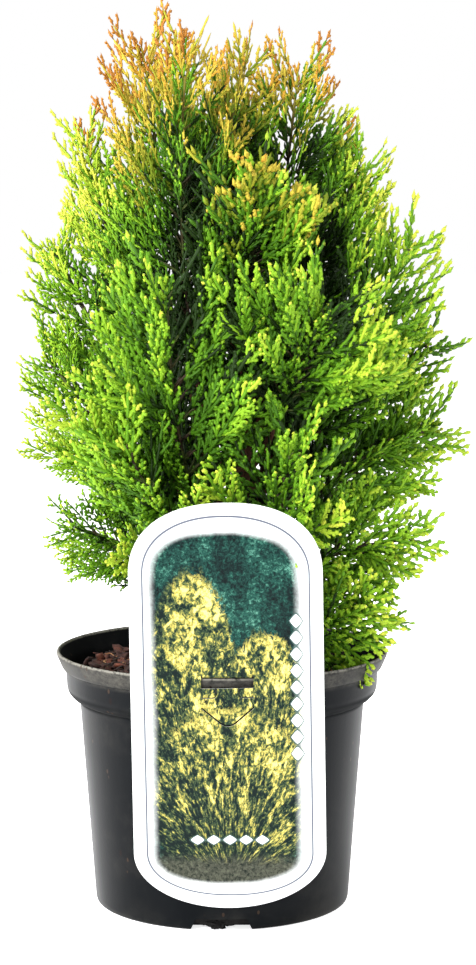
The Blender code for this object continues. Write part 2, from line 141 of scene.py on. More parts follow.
# Finer growth
FINE_BOUGH_STEPS = 14
FINE_STEM_STEPS = 24
STEM_WOOD = 22  # so many of a stem's points are wood
BETWEEN = 17  # more side sprays on each stem, between those that the solids have
SPRAY_HEM = 4 * MM  # a spray's axis ends so far before the spray does
BRANCHLET_STEP = 2.1 * MM
SHOOT_STEP = 1.3 * MM
SHOOT_WIDTH = 1.15 * MM
SHOOT_FLATNESS = 0.62
AXIS_JOINT = 9 * MM
TIP_BRANCHLET = 4.2 * MM
LONG_BRANCHLET = 5.5 * MM  # longer branchlets take the long form of a shoot
LONG_SHOOT = 3.3 * MM  # and so do longer side shoots
BRANCHLET_LEAN = math.radians(40)
SHOOT_LEAN = math.radians(36)
TRUNK_AXIS = (6 * MM, 2 * MM)

# Short sprays that fill the plant: how many, and their length
COLLAR, COLLAR_LENGTH = 12, 44 * MM  # on the trunk's last part, below the leader
INNER, INNER_LENGTH = 6, 31 * MM  # dark as painted shade, on each bough, below its mass
BACKING, BACKING_LENGTH = 5, 32 * MM  # coarse and dark as painted shade, behind each stem, twice as many higher up
COVER, COVER_LENGTH = 7, 25 * MM  # along each stem, on its outer side
COVER_BACK = 12 * MM  # they lean away from a line so far behind the trunk's, so more to the front
COVERED = ("heart_left", "crown_front", "crown_right")  # the masses with twice as many of them

# Places in the crown. The open notch in its top: middle, half width and foot. The shade behind the
# leader: middle x and z, half width and height. The leader's pointed head: middle and height
GAP = (-3 * MM, 9 * MM, 328 * MM)
SHADE = (14 * MM, 250 * MM, 36 * MM, 32 * MM)
LEADER_HEAD = (16 * MM, 288 * MM)
# Clefts in the front of the crown, where sprays are thinned and shoots are painted dark as painted shade: x
# and z of the foot and the head, and half the width
SHADED_CLEFTS = [
    (-15 * MM, 216 * MM, -10 * MM, 288 * MM, 5 * MM),
    (46 * MM, 218 * MM, 40 * MM, 278 * MM, 4 * MM),
    (5 * MM, 208 * MM, 4 * MM, 236 * MM, 3 * MM),
]

# Plain colours of the shoots, and the rows from deep to fresh that sprays pick from
LEAF_COLOURS = [
    ("leaf_dark", (24, 44, 7)),
    ("leaf_deep", (54, 92, 11)),
    ("leaf_mid", (82, 126, 18)),
    ("leaf_bright", (116, 156, 30)),
    ("leaf_fresh", (148, 174, 44)),
    ("leaf_lime", (178, 186, 60)),
    ("leaf_moss", (100, 116, 20)),
    ("leaf_olive", (138, 138, 34)),
    ("leaf_straw", (168, 150, 48)),
    ("leaf_gold", (174, 132, 40)),
    ("leaf_bronze", (152, 100, 36)),
]
GREENS = (0, 1, 2, 3, 4, 5)
GOLDS = (1, 6, 6, 7, 8, 8, 9, 10)

Mass = namedtuple("Mass", "name leaves foot tip width turn fullness")


def mass(name, leaves, foot, tip, width, turn, fullness):
    """leaves: height at which its bough leaves the trunk. foot and tip: ends of its stem. width: the
    longest side spray. turn: the heading that its main fan faces, in degrees from the front.
    fullness: how far its sprays turn out of that fan, in degrees. Lengths are in millimetres."""
    return Mass(
        name, leaves and leaves * MM, Vector(foot) * MM, Vector(tip) * MM, width * MM, turn, fullness
    )


MASSES = [
    mass("front_leader", None, (10, -16, 238), (13, -42, 291), 43, 0, 30),
    mass("crown_front", 165, (-9, -9, 208), (-12, -15, 340), 46, 15, 50),
    mass("crown_left", 150, (-12, 8, 205), (-31, 4, 338), 52, 10, 50),
    mass("crown_right", 178, (19, 5, 225), (30, 6, 328), 48, -10, 50),
    mass("crown_mid", 207, (1, -5, 235), (11, -2, 333), 42, 50, 65),
    mass("crown_back", 186, (7, 16, 222), (-4, 36, 320), 50, 60, 70),
    mass("shoulder_left", 132, (-22, 4, 180), (-55, 6, 307), 41, 0, 45),
    mass("mid_left", 126, (-24, 10, 166), (-67, 10, 260), 40, 10, 50),
    mass("shoulder_right", 163, (27, 0, 212), (56, 8, 292), 41, -18, 50),
    mass("wing_right", 142, (30, -6, 178), (76, -10, 263), 42, 0, 48),
    mass("mid_right", 130, (31, 8, 163), (86, 10, 222), 42, -10, 50),
    mass("fan_left", 120, (-20, 2, 148), (-71, -3, 216), 45, 0, 55),
    mass("skirt_left", 105, (-18, 4, 123), (-61, -4, 149), 37, 0, 55),
    mass("fan_right", 117, (26, 0, 143), (84, 0, 188), 47, 0, 55),
    mass("low_right", 107, (22, -13, 124), (80, -18, 146), 40, 0, 55),
    mass("skirt_right", 101, (22, -15, 109), (60, -37, 121), 36, 10, 30),
    mass("heart_left", 128, (-8, -17, 152), (-20, -44, 248), 52, 10, 60),
    mass("front_right", 172, (21, -18, 192), (40, -42, 236), 50, 0, 60),
    mass("low_front_left", 112, (-8, -17, 128), (-38, -46, 188), 50, 20, 65),
    mass("low_front_right", 114, (14, -22, 132), (27, -45, 190), 46, -20, 65),
    mass("back_left", 136, (-12, 19, 165), (-46, 48, 270), 52, -60, 65),
    mass("back_right", 147, (20, 17, 172), (50, 48, 260), 52, 60, 65),
    mass("back_mid", 126, (5, 24, 152), (2, 66, 242), 52, 10, 75),
    mass("back_fan_left", 109, (-13, 18, 127), (-56, 50, 176), 50, -45, 60),
    mass("back_fan_right", 103, (18, 18, 120), (60, 48, 172), 50, 45, 60),
    mass("skirt_back", 97, (0, 14, 116), (-6, 58, 142), 44, 0, 70),
]


def clamp(value, top=1.0):
    return min(top, max(0.0, value))


# Materials


def linear(colour):
    """A screen colour, 0 to 255, as linear light."""
    return tuple(((c / 255 + 0.055) / 1.055) ** 2.4 if c > 10 else c / 255 / 12.92 for c in colour)


def math_method(operation, swapped=False):
    """A method that makes a math node of a wire and another value."""

    def method(wire, other=0.0):
        a, b = (other, wire) if swapped else (wire, other)
        return wire.nodes.math(operation, a, b)

    return method


class Wire:
    """The output of a node. Sums of wires and numbers make more nodes."""

    __add__ = __radd__ = math_method("ADD")
    __sub__ = math_method("SUBTRACT")
    __rsub__ = math_method("SUBTRACT", swapped=True)
    __mul__ = __rmul__ = math_method("MULTIPLY")
    __truediv__ = math_method("DIVIDE")
    __pow__ = math_method("POWER")
    __abs__ = math_method("ABSOLUTE")
    greater = math_method("MAXIMUM")

    def __init__(self, nodes, socket):
        self.nodes, self.socket = nodes, socket


class Nodes:
    """Builds a node material."""

    def __init__(self, name):
        self.material = bpy.data.materials.new(name)
        self.material.use_nodes = True
        self.tree = self.material.node_tree
        self.shader = self.tree.nodes["Principled BSDF"]

    def put(self, socket, value):
        if isinstance(value, Wire):
            self.tree.links.new(value.socket, socket)
        elif isinstance(value, tuple) and socket.type == "RGBA":
            socket.default_value = (*linear(value), 1)
        else:
            socket.default_value = value

    def wire(self, kind, output, values, **settings):
        """The output of a new node. values: by the name or the number of its inputs."""
        node = self.tree.nodes.new(kind)
        for key, value in settings.items():
            setattr(node, key, value)
        for key, value in values.items():
            self.put(node.inputs[key], value)
        return Wire(self, node.outputs[output])

    @cached_property
    def place(self):
        return self.wire("ShaderNodeTexCoord", "Object", {})

    @cached_property
    def axes(self):
        first = self.wire("ShaderNodeSeparateXYZ", 0, {0: self.place})
        return [Wire(self, socket) for socket in first.socket.node.outputs]

    def math(self, operation, a, b):
        return self.wire("ShaderNodeMath", 0, {0: a, 1: b}, operation=operation)

    def step(self, value, low, high):
        """Smooth 0 to 1 as value goes from low to high."""
        values = {"Value": value, "From Min": low, "From Max": high}
        return self.wire("ShaderNodeMapRange", 0, values, interpolation_type="SMOOTHSTEP")

    def stretch(self, *scale):
        return self.wire("ShaderNodeMapping", 0, {"Vector": self.place, "Scale": scale})

    def noise(self, scale, vector=None, detail=4.0, rough=0.55, distortion=0.0):
        where = {"Vector": vector or self.place, "Scale": scale}
        how = {"Detail": detail, "Roughness": rough, "Distortion": distortion}
        return self.wire("ShaderNodeTexNoise", "Fac", {**where, **how})

    def cells(self, scale, vector=None):
        where = {"Vector": vector or self.place, "Scale": scale}
        return self.wire("ShaderNodeTexVoronoi", "Distance", where)

    def ramp(self, value, *stops):
        colour = self.wire("ShaderNodeValToRGB", 0, {0: value})
        elements = colour.socket.node.color_ramp.elements
        while len(elements) < len(stops):
            elements.new(0.5)
        for element, (place, tint) in zip(elements, stops):
            element.position = place
            element.color = (*linear(tint), 1)
        return colour

    def mix(self, share, a, b):
        return self.wire("ShaderNodeMix", 2, {0: share, 6: a, 7: b}, data_type="RGBA")

    def bump(self, height, strength, distance):
        values = {"Height": height, "Strength": strength, "Distance": distance}
        self.put(self.shader.inputs["Normal"], self.wire("ShaderNodeBump", 0, values))

    def set(self, **values):
        for key, value in values.items():
            self.put(self.shader.inputs[key.replace("_", " ")], value)
        return self.material


def leaf_material(name, colour):
    return Nodes(name).set(Base_Color=colour, Roughness=0.5, Specular_IOR_Level=0.15)


def pot_material():
    n = Nodes("pot_plastic")
    x, y, z = n.axes
    radius = (x * x + y * y) ** 0.5
    grain = n.noise(900, detail=2)
    drawn = n.noise(60, n.stretch(1, 1, 0.05), detail=5)
    cloud = n.noise(35, detail=5, rough=0.65)
    scuffs = n.noise(420, n.stretch(1, 1, 1.6), detail=5, rough=0.75)
    # The lip flares, so a line through its wall parts its outer side from its inner one
    outside = n.step(radius - z * 0.5, 14.5 * MM, 15.1 * MM)
    inside = (1 - outside) * n.step(z, 88 * MM, 90 * MM)
    lip = n.step(z, 91 * MM, 94 * MM) * outside
    worn = n.step(cloud, 0.25, 0.65) * n.step(scuffs, 0.2, 0.7)
    # A pale line along the lip's top edge, broken by scuffs, is a painted highlight.
    painted_rim_highlight = n.step(z, 98.9 * MM, 99.7 * MM) * n.step(scuffs, 0.34, 0.54)
    low_dust = n.step(z, 12 * MM, 0.0) * n.step(cloud, 0.4, 0.8)
    dust = (lip * worn).greater(low_dust * 0.35).greater(n.step(cloud, 0.5, 0.75) * 0.12)
    colour = n.mix(n.step(drawn, 0.3, 0.7), (3, 4, 5), (9, 10, 11))
    # Inside the lip the wall is painted near black, as painted shade.
    colour = n.mix(inside, colour, (2, 2, 2))
    colour = n.mix(dust * 0.66, colour, (94, 91, 84))
    colour = n.mix(painted_rim_highlight * 0.6, colour, (140, 137, 128))
    for scale, squeeze, sizes, speck_colour in (
        (240, 0.6, (0.15, 0.1), (54, 40, 30)),
        (160, 0.45, (0.12, 0.08), (20, 9, 6)),
    ):
        few = n.step(n.noise(scale / 4, detail=2), 0.54, 0.6)
        specks = n.step(n.cells(scale, n.stretch(1, 1, squeeze)), *sizes) * few
        colour = n.mix(specks * 0.85, colour, speck_colour)
    ledge = n.step(z, 79 * MM, 80.5 * MM) * n.step(z, 86 * MM, 84 * MM)
    rough = 0.36 + dust * 0.3 + (drawn - 0.5) * 0.16 + ledge.greater(inside) * 0.35
    n.bump(grain + drawn * 2.5, 0.12, 0.15 * MM)
    sheen = (226, 238, 250)
    return n.set(Base_Color=colour, Roughness=rough, Specular_IOR_Level=0.07, Specular_Tint=sheen)


def compost_material():
    n = Nodes("compost")
    clump = n.noise(160, detail=6, rough=0.7)
    colour = n.ramp(clump, (0.25, (8, 5, 4)), (0.5, (25, 13, 9)), (0.75, (58, 30, 18)))
    # Lower down, where it shows in the drain notches, the compost is painted near black, as painted shade.
    colour = n.mix(n.step(n.axes[2], 80 * MM, 60 * MM), colour, (9, 6, 5))
    n.bump(clump + n.cells(500) * 0.6, 0.9, 1.2 * MM)
    return n.set(Base_Color=colour, Roughness=0.92, Specular_IOR_Level=0.25)


def chip_material(name, dark, mid, pale):
    n = Nodes(name)
    patch = n.noise(90, detail=3)
    fibre = n.noise(260, n.stretch(1, 3, 1), detail=5, rough=0.65)
    colour = n.ramp(patch * 0.6 + fibre * 0.4, (0.3, dark), (0.52, mid), (0.72, pale))
    n.bump(fibre, 0.7, 0.5 * MM)
    return n.set(Base_Color=colour, Roughness=0.8, Specular_IOR_Level=0.35)


def bark_material():
    n = Nodes("bark")
    strips = n.noise(420, n.stretch(1, 1, 0.12), detail=6, rough=0.7, distortion=0.4)
    plates = n.noise(110, n.stretch(1, 1, 0.3), detail=4)
    colour = n.ramp(strips, (0.28, (28, 15, 9)), (0.5, (74, 42, 26)), (0.72, (124, 86, 60)))
    colour = n.mix(n.step(plates, 0.45, 0.7), colour, (98, 70, 54))
    n.bump(strips + plates * 0.5, 0.9, 0.8 * MM)
    return n.set(Base_Color=colour, Roughness=0.86, Specular_IOR_Level=0.25)


def twig_material():
    n = Nodes("twig")
    brown = n.ramp(n.noise(300, n.stretch(1, 1, 0.4), detail=4), (0.3, (24, 16, 8)), (0.7, (58, 42, 22)))
    colour = n.mix(n.step(n.noise(60, detail=2), 0.42, 0.6), brown, (58, 70, 22))
    colour = n.mix(n.step(n.axes[2], 0.29, 0.32), colour, (112, 104, 34))
    return n.set(Base_Color=colour, Roughness=0.7, Specular_IOR_Level=0.3)


# Meshes


def put_object(data, *finishes):
    """A new object in the scene, of the data's name."""
    for finish in finishes:
        data.materials.append(finish)
    made = bpy.data.objects.new(data.name, data)
    bpy.context.scene.collection.objects.link(made)
    return made


def stand_in(made, node):
    """Puts an object in the place of a node's solid, and hides the solid."""
    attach(made, "root")
    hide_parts(node)


def mesh_from(name, points, faces, looks=None, smooth=True):
    """A mesh from arrays. faces is a list of index arrays, each with one number of corners."""
    mesh = bpy.data.meshes.new(name)
    points = np.asarray(points, dtype=np.float32)
    mesh.vertices.add(len(points))
    mesh.vertices.foreach_set("co", points.ravel())
    faces = [np.asarray(block, dtype=np.int32) for block in faces if len(block)]
    sizes = np.concatenate([np.full(len(block), block.shape[1]) for block in faces])
    corners = np.concatenate([block.ravel() for block in faces])
    mesh.loops.add(len(corners))
    mesh.loops.foreach_set("vertex_index", corners)
    mesh.polygons.add(len(sizes))
    mesh.polygons.foreach_set("loop_start", np.concatenate([[0], np.cumsum(sizes)[:-1]]))
    if looks is not None:
        mesh.polygons.foreach_set("material_index", np.asarray(looks, dtype=np.int32))
    if smooth:
        mesh.polygons.foreach_set("use_smooth", np.ones(len(sizes), dtype=bool))
    mesh.update(calc_edges=True)
    mesh.validate()
    return mesh


def bmesh_to(name, bm):
    bmesh.ops.recalc_face_normals(bm, faces=bm.faces)
    mesh = bpy.data.meshes.new(name)
    bm.to_mesh(mesh)
    bm.free()
    return mesh


def smooth_below(mesh, degrees):
    mesh.shade_smooth()
    mesh.set_sharp_from_angle(angle=math.radians(degrees))


def prism(name, outline, reach):
    """The block that an outline sweeps out along Y."""
    bm = bmesh.new()
    face = bm.faces.new([bm.verts.new(point) for point in outline])
    made = bmesh.ops.extrude_face_region(bm, geom=[face])["geom"]
    moved = [item for item in made if isinstance(item, bmesh.types.BMVert)]
    bmesh.ops.translate(bm, verts=moved, vec=(0, reach, 0))
    return put_object(bmesh_to(name, bm))


def apply_change(target, kind, **settings):
    change = target.modifiers.new(kind, kind)
    for key, value in settings.items():
        setattr(change, key, value)
    bpy.context.view_layer.objects.active = target
    bpy.ops.object.modifier_apply(modifier=change.name)


def cut(target, cutter):
    apply_change(target, "BOOLEAN", operation="DIFFERENCE", object=cutter)
    bpy.data.objects.remove(cutter)


def bezier(start, middle, end, share):
    return start.lerp(middle, share).lerp(middle.lerp(end, share), share)


def rounded(profile, soft, steps=4):
    """The profile with its inner corners rounded, each by up to soft."""
    points = [Vector((*point, 0)) for point in profile]
    made = [points[0]]
    for before, corner, after in zip(points, points[1:], points[2:]):
        back, ahead = before - corner, after - corner
        reach = min(soft, back.length * 0.45, ahead.length * 0.45)
        start, end = corner + back.normalized() * reach, corner + ahead.normalized() * reach
        for step in range(steps + 1):
            made.append(bezier(start, corner, end, step / steps))
    made.append(points[-1])
    return [(point.x, point.y) for point in made]


def lathe(name, profile, segments, top=None):
    """A closed round mesh whose profile of (radius, height) runs from pole to pole. Where a height is
    None, top tells it from x and y."""
    rings, points = [], []
    for radius, height in profile:
        pole = radius < 1e-7
        rings.append([len(points)] * segments if pole else range(len(points), len(points) + segments))
        for step in range(1 if pole else segments):
            angle = math.tau * step / segments
            x, y = radius * math.cos(angle), radius * math.sin(angle)
            points.append((x, y, top(x, y) if height is None else height))
    triangles, quads = [], []
    for low, high in zip(rings, rings[1:]):
        for step in range(segments):
            after = (step + 1) % segments
            if low[0] == low[-1]:
                triangles.append((low[0], high[after], high[step]))
            elif high[0] == high[-1]:
                triangles.append((low[step], low[after], high[0]))
            else:
                quads.append((low[step], low[after], high[after], high[step]))
    return mesh_from(name, points, [triangles, quads])


# Pot and compost


def near(across, height, *offsets):
    """Points beside one place of a profile, by their offsets in millimetres."""
    return [(across + out * MM, height + up * MM) for out, up in offsets]


def notch_cutter(heading):
    """The cutter of one drain notch: a wedge with its corners taken off."""
    half = near(NOTCH_WIDTH_LOW / 2, 0, (0, -2), (0, 0), (-0.6, 0.8))
    half += near(NOTCH_WIDTH_HIGH / 2, NOTCH_HEIGHT, (0.5, -0.6), (-0.4, 0))
    other = [(-x, z) for x, z in reversed(half)]
    outline = [other[-1], *half, *other[:-1]]
    start = FOOT_RADIUS + 4 * MM
    cutter = prism("notch", [(x, -start, z) for x, z in outline], start - FOOT_RADIUS + NOTCH_DEPTH)
    cutter.data.transform(Matrix.Rotation(math.radians(heading), 4, "Z"))
    return cutter


def make_pot():
    profile = [
        (0, 0),
        *near(FOOT_RADIUS, 0, (-1.6, 0), (-0.4, 0.5), (0, 2)),
        *near(WALL_TOP_RADIUS, WALL_TOP_HEIGHT, (-0.04, -0.6), (0, 0), (0.8, 0.4), (2.6, 1.2)),
        *near(COLLAR_RADIUS, COLLAR_LOW, (-0.5, -1.4), (0, 0.8)),
        *near(COLLAR_RADIUS, LIP_LOW, (0.4, -0.1), (1.3, 0), (1.9, 0.7)),
        *near(LIP_RADIUS, POT_HEIGHT, (-0.1, -1.5), (0, -0.7), (-0.3, 0)),
        *near(LIP_RADIUS - POT_WALL, POT_HEIGHT, (0.2, 0), (-0.2, -0.6)),
        *near(COLLAR_RADIUS, LIP_LOW, (-0.2, 1.4)),
        *near(COLLAR_RADIUS - POT_WALL, COLLAR_LOW, (0, 0.9)),
        *near(WALL_TOP_RADIUS - POT_WALL, WALL_TOP_HEIGHT, (0, 0.8)),
        (FOOT_RADIUS - POT_WALL, POT_FLOOR),
        (0, POT_FLOOR),
    ]
    mesh = lathe("pot_shell", rounded(profile, POT_ROUNDING), POT_SEGMENTS)
    pot = put_object(mesh, pot_material())
    for number in range(NOTCH_COUNT):
        cut(pot, notch_cutter(360 / NOTCH_COUNT * number))
    smooth_below(mesh, 40)
    stand_in(pot, "pot")


def soil_height(x, y):
    """The compost's uneven top."""
    inward = COLLAR_RADIUS - POT_WALL - 0.9 * MM - math.hypot(x, y)
    dome = SOIL_EDGE + (SOIL_TOP + SOIL_CROWN - SOIL_EDGE) * clamp(inward / (22 * MM)) ** 0.6
    rough = noise.noise(Vector((x, y, 0)) * 90) * 1.4 + noise.noise(Vector((x, y, 1)) * 320) * 0.7
    return dome + rough * clamp(inward / (3 * MM)) * MM


def make_compost(finish):
    gap = CLEARANCE * 1.4 + POT_WALL
    rim = COLLAR_RADIUS - gap - 0.4 * MM
    profile = [
        (0, POT_FLOOR + CLEARANCE),
        (FOOT_RADIUS - gap - 0.4 * MM, POT_FLOOR + CLEARANCE),
        (WALL_TOP_RADIUS - gap - 0.2 * MM, WALL_TOP_HEIGHT + 0.6 * MM),
        (COLLAR_RADIUS - gap - 0.6 * MM, COLLAR_LOW + 1.2 * MM),
        (rim, SOIL_EDGE - 1 * MM),
    ]
    profile += [(rim * (1 - step / SOIL_RINGS), None) for step in range(SOIL_RINGS + 1)]
    mesh = lathe("compost_bed", profile, SOIL_SEGMENTS, soil_height)
    stand_in(put_object(mesh, finish), "compost")


def make_plugs(finish):
    """The compost that shows in the drain notches and sags through them."""
    bm = bmesh.new()
    for number in range(NOTCH_COUNT):
        turn = Matrix.Rotation(math.tau / NOTCH_COUNT * number, 3, "Z")
        for x, y, z, size in (
            (0, -43.4, 3.6, (10.5, 4.4, 2.9)),
            (-1.6, -46, 2, (3.4, 2.6, 2.3)),
            (-5.4, -45.2, 3, (3.2, 2.4, 1.6)),
            (3.8, -45, 3, (4.4, 2.4, 1.5)),
        ):
            for vert in bmesh.ops.create_icosphere(bm, subdivisions=4, radius=1)["verts"]:
                spot = Vector((x + vert.co.x * size[0], y + vert.co.y * size[1], z + vert.co.z * size[2]))
                spot += vert.co * noise.noise(spot * 0.9) * 1.2
                spot.z = max(0.25, spot.z)
                vert.co = turn @ spot * MM
    mesh = bmesh_to("compost_plugs", bm)
    smooth_below(mesh, 60)
    stand_in(put_object(mesh, finish), "compost")


def scatter_chips(name, finish, count, size, seed, flat=0.3):
    """Bark chips: bent slabs with ragged ends, lying on the compost at all headings."""
    dice = random.Random(seed)
    points, quads = [], []
    rim = COLLAR_RADIUS - POT_WALL - 1.2 * MM
    rings = 4
    while count:
        x, y = dice.uniform(-rim, rim), dice.uniform(-rim, rim)
        length = dice.uniform(*size) * MM
        from_trunk = math.hypot(x - 3 * MM, y - 2 * MM)
        if math.hypot(x, y) + length * 0.5 > rim or from_trunk < TRUNK_CLEARING:
            continue
        count -= 1
        wide = length * dice.uniform(0.22, 0.5)
        thick = max(0.35 * MM, length * dice.uniform(0.05, flat * 0.5))
        turn = Matrix.Rotation(dice.uniform(0, math.tau), 3, "Z")
        tilt = Matrix.Rotation(dice.gauss(0, 0.35), 3, "Y") @ Matrix.Rotation(dice.gauss(0, 0.5), 3, "X")
        at = Vector((x, y, soil_height(x, y) + dice.uniform(0.0, 1.1) * MM))
        first = len(points)
        for ring in range(rings):
            share = ring / (rings - 1) - 0.5
            narrow = 1 - 0.55 * abs(share) ** 1.5 * dice.uniform(0.5, 2.2)
            bend = (share * share - 0.1) * length * 0.25
            for side, level in ((1, 1), (-1, 1), (-1, -1), (1, -1)):
                spot = Vector((
                    share * length * dice.uniform(0.9, 1.1),
                    side * wide / 2 * narrow * dice.uniform(0.8, 1.2),
                    level * thick / 2 - bend,
                ))
                points.append(at + turn @ tilt @ spot)
        last = first + 4 * (rings - 1)
        for a in range(first, last, 4):
            for corner in range(4):
                after = (corner + 1) % 4
                quads.append((a + corner, a + 4 + corner, a + 4 + after, a + after))
        quads += [(first, first + 1, first + 2, first + 3), (last + 3, last + 2, last + 1, last)]
    stand_in(put_object(mesh_from(name, points, [quads], smooth=False), finish), "compost")


def scatter_fibres(name, finish, count, seed):
    """Thin pale fibres among the chips."""
    dice = random.Random(seed)
    tubes = Tubes()
    rim = COLLAR_RADIUS - POT_WALL - 2 * MM
    while count:
        angle, radius = dice.uniform(0, math.tau), rim * math.sqrt(dice.random())
        length = dice.uniform(5, 14) * MM
        if radius + length > rim or radius < 10 * MM:
            continue
        count -= 1
        at = Vector((radius * math.cos(angle), radius * math.sin(angle), 0))
        heading = dice.uniform(0, math.tau)
        line = []
        for step in range(6):
            spot = at + Vector((math.cos(heading), math.sin(heading), 0)) * length * step / 5
            heading += dice.uniform(-0.4, 0.4)
            spot.z = soil_height(spot.x, spot.y) + (0.9 + math.sin(step * 1.3 + angle) * 0.7) * MM
            line.append(spot)
        tubes.add(line, [0.28 * MM] * 5 + [0.12 * MM], 4)
    stand_in(put_object(tubes.mesh(name), finish), "compost")


def make_soil():
    soil = compost_material()
    make_compost(soil)
    make_plugs(soil)
    red = chip_material("chip_red", (12, 5, 3), (46, 18, 9), (108, 54, 32))
    dark = chip_material("chip_dark", (9, 6, 4), (26, 14, 9), (54, 32, 22))
    pale = chip_material("fibre", (70, 42, 24), (116, 78, 48), (158, 120, 82))
    scatter_chips("bark_chips", red, 520, (3, 10), 3)
    scatter_chips("peat_crumbs", dark, 520, (1.5, 4), 4, 0.9)
    scatter_fibres("fibres", pale, 60, 5)


# Label


def label_point(across, height, depth):
    x = LABEL_CENTRE_X + across * math.cos(LABEL_LEAN)
    x -= (height - SLOT_HIGH) * math.sin(LABEL_LEAN)
    z = SLOT_HIGH + (height - SLOT_HIGH) * math.cos(LABEL_LEAN) + across * math.sin(LABEL_LEAN)
    return Vector((x, depth, z))


def plate(name, outline, front, back):
    return prism(name, [label_point(across, height, front) for across, height in outline], back - front)


def rounded_end(level, rise, power, steps):
    points = []
    for step in range(steps + 1):
        angle = math.pi * step / steps
        across = math.copysign(abs(math.cos(angle)) ** (2 / power), math.cos(angle))
        points.append((LABEL_WIDTH / 2 * across, level + rise * math.sin(angle) ** (2 / power)))
    return points


def slit(corners, soft, steps, wide):
    """The outline of a cut of one width, along a line with rounded corners."""
    line = [Vector((*point, 0)) for point in rounded(corners, soft, steps)]
    sides = ([], [])
    for index, point in enumerate(line):
        run = line[min(index + 1, len(line) - 1)] - line[max(index - 1, 0)]
        off = Vector((-run.y, run.x, 0)).normalized() * wide / 2
        sides[0].append(tuple(point + off)[:2])
        sides[1].append(tuple(point - off)[:2])
    return sides[0] + sides[1][::-1]


def label_cuts():
    """The outlines of the bar slot, the slits beside its neck and the slit round the tongue."""
    half, neck = SLOT_WIDTH / 2, NECK_WIDTH / 2
    cuts = [[(-half, SLOT_HIGH), (-half, SLOT_LOW), (half, SLOT_LOW), (half, SLOT_HIGH)]]
    for side in (-1, 1):
        corners = [(neck * side, SLOT_LOW + NECK_CUT), (neck * side, NECK_LOW), (half * side, NECK_LOW)]
        cuts.append(slit(corners, 1.3 * MM, 5, NECK_CUT))
    corners = [(-half, TONGUE_SIDE_LOW), (0, TONGUE_TIP - 1.1 * MM), (half, TONGUE_SIDE_LOW)]
    return cuts + [slit(corners, 4.2 * MM, 8, TONGUE_CUT)]


